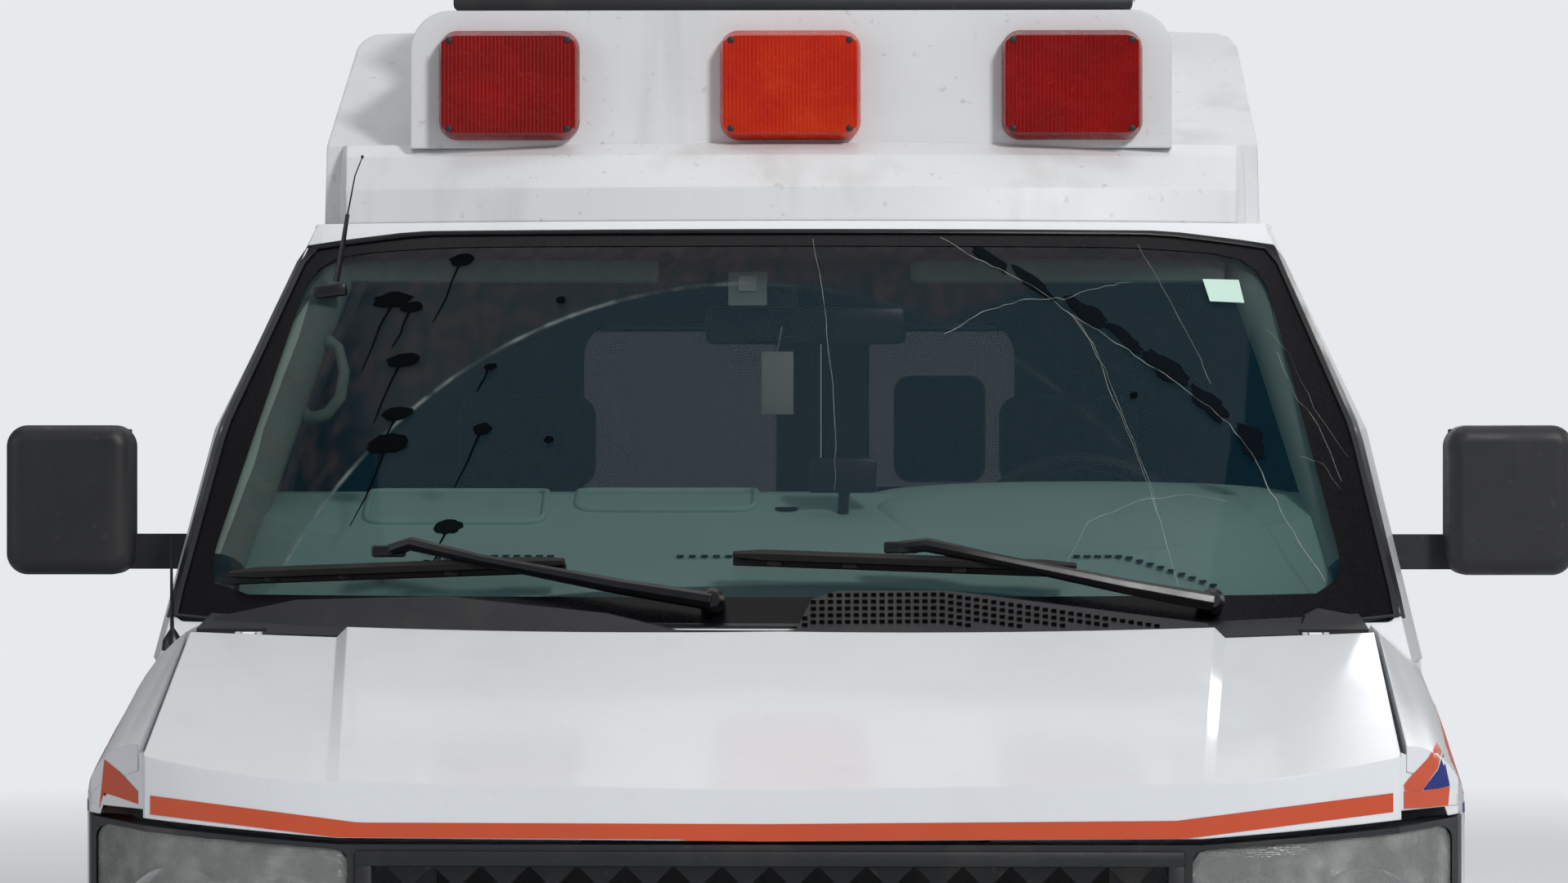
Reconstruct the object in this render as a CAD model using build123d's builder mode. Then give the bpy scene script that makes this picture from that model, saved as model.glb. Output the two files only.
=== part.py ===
from build123d import *

import math
import os

# Van ambulance with a raised glass-fibre roof, on a ladder frame. All lengths are millimetres.
# +X is the driver's side, +Y is the rear and +Z is up. The origin lies on the ground, at the
# middle of the length and width. A station is a distance behind the front bumper's face.

# Overall size
LENGTH = 5690
REAR_STEP = 90
BODY_REAR = LENGTH - REAR_STEP
WHEELBASE = 3430
FRONT_OVERHANG = 870

# Body side, from the sill up: half width and height of each break in its section
SILL_X, SILL_Z = 972, 345
KNEE_X, KNEE_Z = 1000, 520
WAIST_X, WAIST_Z = 1003, 900
BELT_X, BELT_Z = 998, 1240
UPPER_X, UPPER_Z = 930, 1600
ROOF_X, ROOF_Z = 788, 1935
WAIST_BULGE = 3
SIDE_WALL = 60

# Door construction: the outer flange covers the shut line and the inner box stands back from it
DOOR_GAP = 8
DOOR_FLANGE = 12
DOOR_DEPTH = 45
DOOR_STEP = 18
SEAL_DEPTH = 50
SEAL_REACH = 12
SEAT_GAP = 0.3
GLASS_DEPTH = 18
GLASS = 6

# Hinges: a pin on the body between two knuckles, and a barrel on the door
HINGE_R = 7
HINGE_PIN_R = 4
HINGE_CLEAR = 0.3
KNUCKLE = 20
BARREL = 40
LOW_HINGE, HIGH_HINGE = 510, 820
REAR_LOW_HINGE, REAR_HIGH_HINGE = 680, 1120
REAR_HINGE_PROUD = 12
STRAP = 7
HINGE_TAB = 3
STRAP_REACH = 60

# Wheels, tyres and steering
TYRE_R = 387
TYRE_W = 245
TYRE_SIDES = 48
TYRE_SHOULDER = (
    # cuts of the shoulder: distance down the side, distance across the tread
    (39, 40),
    (53, 14),
)
TYRE_DISH, BEAD_LIP = 64, 4
RIM_R = 203
RIM_FLANGE_R = 218
RIM_WALL = 12
RIM_W = 215
DISC_OUT = 42
SPINDLE_R = 30
SPINDLE_CLEAR = 0.3
HUB_R = 62
HUB_CAP, HUB_CAP_WALL, HUB_BACK = 80, 14, 12
FRONT_HALF_TRACK = 874
REAR_HALF_TRACK = 863
KINGPIN_X = 790
KINGPIN_R = 14
ARCH_R = 455
REAR_ARCH_R = 430
BRAKE_R = 150

# Ladder frame
RAIL_X = 420
RAIL_W = 60
RAIL_LOW, RAIL_TOP = 470, 620
RAIL_WALL = 10
CROSS_LOW, CROSS_TOP = 550, 610
RAIL_FRONT, RAIL_REAR = 120, BODY_REAR - 150
CROSS_W = 70
CROSS_STATIONS = (180, 2350, 3250, 4850, RAIL_REAR - CROSS_W)
MOUNT_STATIONS = (1500, 2600, 3600, 5000)
MOUNT_R = 28
JACK_STATION, JACK_LENGTH, JACK_WIDTH, JACK_DEPTH = 2900, 140, 60, 12
AXLE_R = 45
SPRING_X = 530
SPRING_W = 60
SPRING_HALF = 600
HANGER_LOW = 505
LEAF_PACK, LEAF_TIP = 38, 12
DIFF_R = 140
SHAFT_R, SHAFT_Z = 38, 520
GEARBOX_REAR = 2050
RADIATOR_FRONT = 330

# Floor
FLOOR_LOW, FLOOR_TOP = 660, 700
FLOOR_SIDE_GAP = 0.6
FIREWALL_FRONT = 1320
FIREWALL_LOW = 640
REAR_FRAME = BODY_REAR - SIDE_WALL
COVER_X, COVER_TOP, COVER_REAR = 345, 1110, 1760
SEAT_X, SEAT_W = 470, 480
COVER_WALL = 25
STEP_X, STEP_LOW, STEP_WALL = 690, 460, 14
STEP_WELLS = (
    # side, front station, rear station
    (1, 1420, 2340),
    (-1, 1420, 2340),
    (-1, 2600, 3760),
)
WHEEL_BOX_X, WHEEL_BOX_LOW, WHEEL_BOX_WALL = 700, 480, 14
TRACK_PLATE = ((-260, 360), (3320, 5200), (FLOOR_TOP, FLOOR_TOP + 6))
EXHAUST_X, EXHAUST_Z, EXHAUST_R = 250, 490, 28
EXHAUST_FRONT, EXHAUST_REAR = 1400, BODY_REAR - 75
MUFFLER_FRONT, MUFFLER_REAR, MUFFLER_R = 2700, 3180, 55
BULKHEAD = (2440, 2466)
CABINETS = (2700, REAR_FRAME - 240)
BENCH_FRONT = 3900

# Cab above the belt: plan of the skin at belt, middle and roof height
CAB_SECTIONS = (
    # height, screen middle station, corner x, corner station, side x, side station
    (BELT_Z, 865, 962, 1104, BELT_X, 1335),
    (UPPER_Z, 1209, 899, 1402, UPPER_X, 1576),
    (ROOF_Z, 1530, 772, 1668, ROOF_X, 1800),
)
POST_FRONT, POST_DEPTH = 1290, 75
COWL_LOW = 1190
COWL_X, COWL_REAR_X = 882, 920
SCREEN_DEPTH = 2
SCREEN_THICK = 8
SCREEN_EDGE = ((946, 1302), (893, 1600), (783, 1893), (600, 1914))
SCREEN_OUTLINE = SCREEN_EDGE + tuple((-x, z) for x, z in reversed(SCREEN_EDGE))
SCREEN_CORNER = 18

# Humps of the cowl as front-view outlines: a smooth one, a louvred one and corner caps
COWL_SLOPE = ((760, 1282), (1200, 1322), (1200, 1500), (760, 1500))
COWL_HUMPS = (
    ((-866, 1290), (-866, 1312), (-745, 1338), (-510, 1346), (-260, 1322), (-120, 1290)),
    ((18, 1290), (46, 1344), (84, 1356), (250, 1356), (640, 1306), (660, 1290)),
    ((780, 1290), (792, 1316), (815, 1326), (866, 1316), (866, 1290)),
)
HUMP_FRONT, HUMP_REAR = 78, 34
BLADE_PROUD, BLADE_HALF = 14, 7
ARM_PROUD, ARM_HALF = 24, 8
BOSS_R = 18
WIPERS = (
    # pivot, joint of arm and blade, ends of the blade, all as x and height
    ((-70, 1322), (-580, 1384), ((-828, 1367), (-332, 1386))),
    ((730, 1352), (176, 1386), ((-76, 1394), (436, 1374))),
)

# Doorways and windows, as stations and heights
FRONT_DOOR = (1360, 2410)
FRONT_AXIS = FRONT_DOOR[0] - DOOR_GAP / 2
DOOR_LOW, DOOR_TOP = 430, 1888
PILLAR_LOW, PILLAR_BACK = 1250, 1790
FRONT_WINDOW = ((1475, 1285), (1835, 1828), (2335, 1828), (2335, 1285))
SIDE_DOORWAY = (2530, 3830)
SIDE_DOOR_MEET = 3290
WINDOW_LOW, WINDOW_TOP = 1285, 1830
WINDOW_CORNER = 45
WINDOW_STILE = 75

SIDE_AXES = (SIDE_DOORWAY[0] + DOOR_GAP / 2, SIDE_DOORWAY[1] - DOOR_GAP / 2)

# Rear doors, across the vehicle
REAR_DOOR_TOP = 1905
REAR_FRAME_LOW = 570
REAR_DOOR_LOW = 600
REAR_DOOR_X, REAR_DOOR_TOP_X = 815, 668
REAR_WINDOW_X, REAR_WINDOW_TOP_X, REAR_WINDOW_TOP = 712, 588, 1842
REAR_AXIS_X = REAR_DOOR_X + DOOR_GAP / 2
REAR_SLAB = 50
REAR_MEET_HALF = 4
REAR_STILE = 100

# Front end in plan: half width and station of each point of the body's nose
NOSE_FLAT_X, NOSE_FRONT = 590, 135
NOSE_MID = (740, 158)
NOSE_CORNER = (865, 215)
NOSE_SIDE = (958, 345)
NOSE_TAIL = (1012, 640)
NOSE_LOW, NOSE_TOP, NOSE_TOP_FAR = 640, 1029, 1066
NOSE_THICK = 60
PANEL_REAR = 400
SHUT_LINE = 4
LAMP_LOW, LAMP_TOP_IN, LAMP_TOP_OUT = 800, 1022, 1047
LAMP_IN, LAMP_OUT = 576, 948
LAMP_CORNER = 20
GRILLE_X, GRILLE_LOW, GRILLE_TOP = 556, 760, 1010
GRILLE_CORNER = 24

# Hood skin: sections across the vehicle
HOOD_SECTIONS = (
    # station, middle height, crease x, crease height, drop beyond the crease, seam height
    (110, 1096, 588, 1108, 1, 1136),
    (930, 1341, 652, 1326, 18, 1296),
)
HOOD_SEAM = ((865, 110), (886, 930))
HOOD_SKIN = 25
HOOD_REAR_MID, HOOD_REAR_END = 790, 896
HOOD_LIP = ((0, 1034), (590, 1038), (900, 1062))
HOOD_AXIS = (915, 1285)
HOOD_HINGE_X = 800
HOOD_BARREL_R = 9
HOOD_EAR = 8

# Fender skin: sections across the vehicle
FENDER_SECTIONS = (
    # station, seam x, seam height, shoulder x, shoulder height, side x, side height, knee x, sill x
    (110, 873, 1136, 932, 1102, 962, 1000, 968, 950),
    (900, 893, 1294, 971, 1199, 998, 1080, 1000, 972),
    (1352, 908, 1302, 967, 1270, 1001, 1190, KNEE_X, SILL_X),
)
FENDER_SKIN = 25
FENDER_NOSE_LOW = 560
FENDER_REAR = FRONT_DOOR[0] - DOOR_GAP
LINER_IN = 480
LINER = 10
LINER_LOW = 420
MESH_X, MESH_Z, MESH_HOLE = 66, 60, 34
MESH_COLUMNS, MESH_ROWS = 17, 4
BUMPER_LOW, BUMPER_TOP = 430, 636
BUMPER_FLAT, BUMPER_X, BUMPER_THICK = 640, 990, 85
PLATE_HALF, PLATE_HOLE_R, PLATE_HOLE_DEPTH = 89, 3.5, 30
PLATE_FRONT_Z, PLATE_REAR_Z = 530, 480

# Raised roof: stations and heights of its main breaks
ROOF_REAR = BODY_REAR - 10
ROOF_TOP = 2290
ROOF_CROWN = 14
ROOF_SKIN = 25
ROOF_FRONT = 1560
ROOF_LEAN = 8
BROW_SECTIONS = (
    # height, middle station, corner x, corner station, side x, side station
    (ROOF_Z, 1530, 724, 1652, 750, 1770),
    (1990, 1541, 726, 1660, 752, 1776),
    (2045, 1600, 728, 1690, 756, 1800),
    (2066, 1648, 730, 1714, 760, 1820),
)
BROW_TOP = BROW_SECTIONS[-1][0]
ROOF_SHELL_X = 768
POD_FRONT, POD_X, POD_LOW, POD_TOP = 1660, 620, BROW_TOP - 8, 2283
POD_ROUND = 65
ROOF_SLANT = 2330
ROOF_BREAK = 1740

# Lamps on the roof
ROOF_LAMP_X = 458
ROOF_LAMP_Z = 2160
ROOF_LAMP_W, ROOF_LAMP_H = 228.6, 177.8
ROOF_LAMP_PROUD = 45
ROOF_LAMP_CORNER = 38
BAR_STATION = 2000
BAR_HALF, BAR_DEPTH, BAR_HEIGHT = 575, 320, 112
BAR_FOOT = 14

FRONT_AXLE = FRONT_OVERHANG
REAR_AXLE = FRONT_OVERHANG + WHEELBASE
CAB_REAR = FRONT_DOOR[1] + DOOR_GAP
FAR = 1100


def at(station):
    """Y of a station behind the front bumper's face."""
    return station - LENGTH / 2


def cross_plane(station):
    """Plane across the vehicle with X and Z as its axes. It faces forwards."""
    return Plane.XZ.offset(-at(station))


def block(x, stations, z):
    """Box between the low and high values of X, station and Z."""
    size = (abs(x[1] - x[0]), stations[1] - stations[0], z[1] - z[0])
    middle = ((x[0] + x[1]) / 2, at((stations[0] + stations[1]) / 2), (z[0] + z[1]) / 2)
    return Pos(*middle) * Box(*size, mode=Mode.PRIVATE)


def side_prism(points, x_low, x_high, growth=0, corner=0):
    """Side-view outline of (station, height) points, extruded across the vehicle."""
    with BuildPart() as prism:
        with BuildSketch(Plane.YZ.offset(x_low)) as outline:
            with BuildLine():
                Polyline(*[(at(station), height) for station, height in points], close=True)
            make_face()
            if corner:
                fillet(outline.vertices(), corner)
            if growth:
                offset(amount=growth, kind=Kind.INTERSECTION)
        extrude(amount=x_high - x_low)
    return prism.part


def front_prism(points, front, rear, growth=0, corner=0):
    """Front-view outline of (x, height) points, extruded along the vehicle."""
    with BuildPart() as prism:
        with BuildSketch(cross_plane(front)) as outline:
            with BuildLine():
                Polyline(*points, close=True)
            make_face()
            if corner:
                fillet(outline.vertices(), corner)
            if growth:
                offset(amount=growth, kind=Kind.INTERSECTION)
        extrude(amount=front - rear)
    return prism.part


def side_band(front, rear, outer, inner, low=SILL_Z, top=ROOF_Z):
    """Band of the left body side between two depths below its skin."""
    middle_x, middle_z = (WAIST_X + BELT_X) / 2 + WAIST_BULGE, (WAIST_Z + BELT_Z) / 2
    with BuildPart() as band:
        with BuildSketch(cross_plane(front)):
            with BuildLine():
                for depth in (outer, inner):
                    Line((SILL_X - depth, SILL_Z), (KNEE_X - depth, KNEE_Z))
                    Line((KNEE_X - depth, KNEE_Z), (WAIST_X - depth, WAIST_Z))
                    ThreePointArc(
                        (WAIST_X - depth, WAIST_Z), (middle_x - depth, middle_z), (BELT_X - depth, BELT_Z)
                    )
                    Line((BELT_X - depth, BELT_Z), (UPPER_X - depth, UPPER_Z))
                    Line((UPPER_X - depth, UPPER_Z), (ROOF_X - depth, ROOF_Z))
                Line((SILL_X - outer, SILL_Z), (SILL_X - inner, SILL_Z))
                Line((ROOF_X - outer, ROOF_Z), (ROOF_X - inner, ROOF_Z))
            make_face()
        extrude(amount=front - rear)
        with BuildSketch(Plane.XY.offset(low)):
            Rectangle(4 * FAR, 2 * LENGTH)
        extrude(amount=top - low, mode=Mode.INTERSECT)
    return band.part


def body_slice(front, rear, depth, low, top):
    """Slice of the whole body's section at a depth below its skin."""
    with BuildPart() as section:
        with BuildSketch(cross_plane(front)):
            with BuildLine():
                Polyline(
                    (0, SILL_Z),
                    (SILL_X - depth, SILL_Z),
                    (KNEE_X - depth, KNEE_Z),
                    (WAIST_X - depth, WAIST_Z),
                    (BELT_X - depth, BELT_Z),
                    (UPPER_X - depth, UPPER_Z),
                    (ROOF_X - depth, ROOF_Z),
                    (0, ROOF_Z),
                    close=True,
                )
            make_face()
            mirror(about=Plane.YZ)
        extrude(amount=front - rear)
        with BuildSketch(Plane.XY.offset(low)):
            Rectangle(4 * FAR, 2 * LENGTH)
        extrude(amount=top - low, mode=Mode.INTERSECT)
    return section.part


def upright(x, station, radius, low, top):
    """Upright cylinder between two heights."""
    return Pos(x, at(station), (low + top) / 2) * Cylinder(radius, top - low, mode=Mode.PRIVATE)


def crossbar(x, station, height, radius):
    """Cylinder across the vehicle between two X values."""
    middle = Pos((x[0] + x[1]) / 2, at(station), height)
    return middle * Rot(0, 90, 0) * Cylinder(radius, abs(x[1] - x[0]), mode=Mode.PRIVATE)


def crosswise_hole(x, station, height):
    """Bolt hole for a number plate, along the vehicle."""
    hole = Cylinder(PLATE_HOLE_R, 2 * PLATE_HOLE_DEPTH, mode=Mode.PRIVATE)
    return Pos(x, at(station), height) * Rot(90, 0, 0) * hole


def body_knuckles(x, station, low, radius=HINGE_R):
    """Pin and end knuckles of a hinge, which belong to the body."""
    high = low + 2 * KNUCKLE + BARREL
    return [
        upright(x, station, radius, low, low + KNUCKLE),
        upright(x, station, radius, high - KNUCKLE, high),
        upright(x, station, HINGE_PIN_R, low, high),
    ]


def door_barrel(x, station, low, radius=HINGE_R):
    """Barrel of a hinge, which belongs to the door, still without its bore."""
    start = low + KNUCKLE + HINGE_CLEAR
    return upright(x, station, radius, start, start + BARREL - 2 * HINGE_CLEAR)


def hinge_bore(x, station, low):
    """Space that a hinge's pin turns in."""
    return upright(x, station, HINGE_PIN_R + HINGE_CLEAR, low, low + 2 * KNUCKLE + BARREL)


def knuckle_space(x, station, low):
    """Notches around a hinge's end knuckles."""
    high = low + 2 * KNUCKLE + BARREL
    radius = HINGE_R + 2
    return [
        upright(x, station, radius, low - 2, low + KNUCKLE + HINGE_CLEAR),
        upright(x, station, radius, high - KNUCKLE - HINGE_CLEAR, high + 2),
    ]


def hinge_space(x, station, low):
    """Notch around a whole hinge."""
    return upright(x, station, HINGE_R + 1, low - 2, low + 2 * KNUCKLE + BARREL + 2)


def both(parts):
    """Solids and their copies on the other side of the vehicle."""
    return list(parts) + [mirror(part, about=Plane.YZ) for part in parts]


def save(part, name):
    """Label a finished piece and write it."""
    part.label = name
    export_step(part, f"parts/{name}.step")


os.makedirs("parts", exist_ok=True)


# Ladder frame: channel rails, crossmembers, body mounts, spring hangers and bumper brackets
with BuildPart() as chassis_frame:
    with BuildSketch(cross_plane(RAIL_FRONT)):
        with Locations((RAIL_X, (RAIL_LOW + RAIL_TOP) / 2)):
            Rectangle(RAIL_W, RAIL_TOP - RAIL_LOW)
        with Locations((RAIL_X - RAIL_WALL, (RAIL_LOW + RAIL_TOP) / 2)):
            Rectangle(RAIL_W, RAIL_TOP - RAIL_LOW - 2 * RAIL_WALL, mode=Mode.SUBTRACT)
    extrude(amount=RAIL_FRONT - RAIL_REAR)
    for station in MOUNT_STATIONS:
        add(upright(RAIL_X, station, MOUNT_R, RAIL_TOP, FLOOR_LOW))
    hanger_x = (RAIL_X + RAIL_W / 2, SPRING_X + SPRING_W / 2)
    for station in (REAR_AXLE - SPRING_HALF, REAR_AXLE + SPRING_HALF):
        add(block(hanger_x, (station - 35, station + 35), (HANGER_LOW, 600)))
    jack_x = (RAIL_X - JACK_WIDTH / 2, RAIL_X + JACK_WIDTH / 2)
    jack_span = (JACK_STATION - JACK_LENGTH / 2, JACK_STATION + JACK_LENGTH / 2)
    add(block(jack_x, jack_span, (RAIL_LOW - JACK_DEPTH, RAIL_LOW)))
    mirror(about=Plane.YZ)
    for station in CROSS_STATIONS:
        width = RAIL_X - RAIL_W / 2 + RAIL_WALL
        add(block((-width - 20, width + 20), (station, station + CROSS_W), (CROSS_LOW, CROSS_TOP)))
save(chassis_frame.part, "chassis_frame")


# Engine and gearbox, closed in by the hood and the cab's engine cover
with BuildPart() as engine_block:
    add(block((-285, 285), (640, 1460), (650, 1070)))
    add(block((-165, 165), (700, 1400), (430, 650)))
    add(block((-150, 150), (1400, GEARBOX_REAR), (440, 640)))
    mount_x = RAIL_X - RAIL_W / 2
    for side in (-1, 1):
        add(block(tuple(sorted((side * 150, side * mount_x))), (960, 1060), (560, 612)))
    fillet(engine_block.edges().filter_by(Axis.Y).group_by(Axis.Z)[-1], 60)
save(engine_block.part, "engine_block")


# Radiator behind the grille, standing on the rails
with BuildPart() as radiator:
    add(block((-470, 470), (RADIATOR_FRONT, RADIATOR_FRONT + 55), (RAIL_TOP, 1000)))
    with BuildSketch(cross_plane(RADIATOR_FRONT)):
        with Locations((0, 810)):
            Rectangle(780, 300)
    extrude(amount=-12, mode=Mode.SUBTRACT)
save(radiator.part, "radiator")


# Front axle beam with the kingpins
beam_end = KINGPIN_X + 20
with BuildPart() as front_axle:
    with BuildSketch(cross_plane(FRONT_AXLE - 35)):
        with BuildLine():
            Polyline((-beam_end, 355), (-650, 355), (-420, 320), (420, 320), (650, 355), (beam_end, 355))
            Polyline((-beam_end, 425), (-650, 425), (-420, 390), (420, 390), (650, 425), (beam_end, 425))
            Line((-beam_end, 355), (-beam_end, 425))
            Line((beam_end, 355), (beam_end, 425))
        make_face()
    extrude(amount=-70)
    for side in (-1, 1):
        add(upright(side * KINGPIN_X, FRONT_AXLE, 30, 345, 435))
        add(upright(side * KINGPIN_X, FRONT_AXLE, KINGPIN_R, 290, 484))
        seat_x = sorted((side * 390, side * 450))
        add(block(seat_x, (FRONT_AXLE - 45, FRONT_AXLE + 45), (389, RAIL_LOW)))
save(front_axle.part, "front_axle")


# Steering knuckle: yoke round the kingpin, brake plate, steering arm and spindle
with BuildPart() as knuckle_left:
    for low, high in ((292, 344), (436, 482)):
        add(block((KINGPIN_X - 30, 852), (FRONT_AXLE - 38, FRONT_AXLE + 38), (low, high)))
    add(block((835, 852), (FRONT_AXLE - 38, FRONT_AXLE + 38), (292, 482)))
    add(crossbar((846, 858), FRONT_AXLE, TYRE_R, BRAKE_R))
    add(crossbar((846, FRONT_HALF_TRACK + 60), FRONT_AXLE, TYRE_R, SPINDLE_R))
    add(block((KINGPIN_X - 25, KINGPIN_X + 15), (FRONT_AXLE + 30, FRONT_AXLE + 120), (296, 320)))
    add(upright(KINGPIN_X, FRONT_AXLE, KINGPIN_R + SEAT_GAP, 280, 500), mode=Mode.SUBTRACT)
save(knuckle_left.part, "knuckle_left")
save(mirror(knuckle_left.part, about=Plane.YZ), "knuckle_right")


# Rear axle with its leaf springs, brake plates and propeller shaft
leaf_low = TYRE_R + AXLE_R
leaf_end = HANGER_LOW - SEAT_GAP
with BuildPart() as rear_axle:
    add(crossbar((-790, 790), REAR_AXLE, TYRE_R, AXLE_R))
    add(crossbar((-85, 85), REAR_AXLE, TYRE_R, DIFF_R))
    with BuildSketch(Plane.YZ.offset(SPRING_X - SPRING_W / 2)):
        with BuildLine():
            ends = (at(REAR_AXLE - SPRING_HALF), at(REAR_AXLE + SPRING_HALF))
            ThreePointArc((ends[0], leaf_end), (at(REAR_AXLE), leaf_low + LEAF_PACK), (ends[1], leaf_end))
            tip_low = leaf_end - LEAF_TIP
            Line((ends[1], leaf_end), (ends[1], tip_low))
            ThreePointArc((ends[1], tip_low), (at(REAR_AXLE), leaf_low), (ends[0], tip_low))
            Line((ends[0], tip_low), (ends[0], leaf_end))
        make_face()
    extrude(amount=SPRING_W)
    add(block((SPRING_X - 45, SPRING_X + 45), (REAR_AXLE - 60, REAR_AXLE + 60), (TYRE_R - 60, leaf_low + 50)))
    add(crossbar((780, REAR_HALF_TRACK + 60), REAR_AXLE, TYRE_R, SPINDLE_R))
    add(crossbar((772, 786), REAR_AXLE, TYRE_R, BRAKE_R))
    mirror(about=Plane.YZ)
    shaft_front = Vector(0, at(GEARBOX_REAR + SEAT_GAP), SHAFT_Z)
    shaft_run = Vector(0, at(REAR_AXLE - 60), TYRE_R) - shaft_front
    with BuildSketch(Plane(origin=shaft_front, z_dir=shaft_run)):
        Circle(SHAFT_R)
    extrude(amount=shaft_run.length)
    split(bisect_by=cross_plane(GEARBOX_REAR + SEAT_GAP), keep=Keep.BOTTOM)
save(rear_axle.part, "rear_axle")


# Fuel tank between the rails, and the exhaust beside the left one
with BuildPart() as tank_and_exhaust:
    add(block((-355, -75), (2340, 3330), (380, CROSS_LOW - SEAT_GAP)))
    fillet(tank_and_exhaust.edges().filter_by(Axis.Y), 30)
    with BuildSketch(cross_plane(EXHAUST_FRONT)):
        with Locations((EXHAUST_X, EXHAUST_Z)):
            Circle(EXHAUST_R)
    extrude(amount=EXHAUST_FRONT - EXHAUST_REAR)
    with BuildSketch(cross_plane(MUFFLER_FRONT)):
        with Locations((EXHAUST_X, EXHAUST_Z)):
            Circle(MUFFLER_R)
    extrude(amount=MUFFLER_FRONT - MUFFLER_REAR)
    add(upright(EXHAUST_X, EXHAUST_FRONT + 30, EXHAUST_R, EXHAUST_Z, 650 - SEAT_GAP))
    for station in CROSS_STATIONS[2:]:
        low, high = EXHAUST_Z + EXHAUST_R - 5, CROSS_LOW - SEAT_GAP
        add(block((EXHAUST_X - 12, EXHAUST_X + 12), (station + 5, station + 35), (low, high)))
save(tank_and_exhaust.part, "tank_and_exhaust")


# Floor with its side steps, wheel boxes and the cover over the engine
well_depth = SIDE_WALL + FLOOR_SIDE_GAP
with BuildPart() as floor_pan:
    add(body_slice(FENDER_REAR, REAR_FRAME, well_depth, FLOOR_LOW, FLOOR_TOP))
    for side, front, rear in STEP_WELLS:
        x_in = side * STEP_X
        span = (front - STEP_WALL, rear + STEP_WALL)
        outside = block((x_in - side * STEP_WALL, side * FAR), span, (0, FAR))
        tray = body_slice(*span, well_depth, STEP_LOW, FLOOR_TOP)
        add(tray & outside)
        add(block((x_in, side * FAR), (front, rear), (STEP_LOW + STEP_WALL, FLOOR_TOP)), mode=Mode.SUBTRACT)
    for side in (-1, 1):
        wall_x = side * WHEEL_BOX_X
        box_r = REAR_ARCH_R + WHEEL_BOX_WALL
        shell = body_slice(REAR_AXLE - box_r, REAR_AXLE + box_r, well_depth, WHEEL_BOX_LOW, FAR)
        add(shell & crossbar(sorted((wall_x, side * FAR)), REAR_AXLE, TYRE_R, box_r))
        hollow_x = sorted((wall_x + side * WHEEL_BOX_WALL, side * FAR))
        add(crossbar(hollow_x, REAR_AXLE, TYRE_R, REAR_ARCH_R), mode=Mode.SUBTRACT)
    add(block(*TRACK_PLATE))
    add(block((-COVER_X, COVER_X), (FENDER_REAR, COVER_REAR), (FLOOR_TOP, COVER_TOP)))
    inner_x = COVER_X - COVER_WALL
    cover_space = block((-inner_x, inner_x), (0, COVER_REAR - COVER_WALL), (0, COVER_TOP - COVER_WALL))
    add(cover_space, mode=Mode.SUBTRACT)
save(floor_pan.part, "floor_pan")


# Outlines of the doorways in side view; each door is smaller by the shut gap
front, rear = FRONT_DOOR
FRONT_OUTLINE = (
    (front, DOOR_LOW),
    (front, PILLAR_LOW),
    (PILLAR_BACK, DOOR_TOP),
    (rear, DOOR_TOP),
    (rear, DOOR_LOW),
)
front, rear = SIDE_DOORWAY
low, top = DOOR_LOW - DOOR_GAP, DOOR_TOP + DOOR_GAP
SIDE_OUTLINE = ((front, low), (front, top), (rear, top), (rear, low))


def doorway(outline, growth):
    """Cut through the left side for a doorway."""
    return side_prism(outline, ROOF_X - 2 * SIDE_WALL, FAR, growth)


def seal_lip(outline, growth):
    """Lip inside a doorway that the door's seal closes against."""
    front, rear = outline[0][0], outline[-1][0]
    lip = side_band(front - 2 * SIDE_WALL, rear + 2 * SIDE_WALL, SEAL_DEPTH, SIDE_WALL)
    return (lip & doorway(outline, growth + 5)) - doorway(outline, growth - SEAL_REACH)


# Cab above the belt, at a depth below its skin
def cab_loft(depth, rear=CAB_REAR):
    """Solid of the cab above the belt at a depth below its skin."""
    end = at(rear + 2 * depth)
    with BuildPart() as cab:
        for height, middle, corner_x, corner, half, side in CAB_SECTIONS:
            with BuildSketch(Plane.XY.offset(height)):
                with BuildLine():
                    ThreePointArc((-corner_x, at(corner)), (0, at(middle)), (corner_x, at(corner)))
                    Polyline((corner_x, at(corner)), (half, at(side)), (half, end))
                    Line((half, end), (-half, end))
                    Polyline((-half, end), (-half, at(side)), (-corner_x, at(corner)))
                make_face()
                if depth:
                    offset(amount=-depth, kind=Kind.INTERSECTION)
        loft(ruled=True)
    return cab.part


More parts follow.
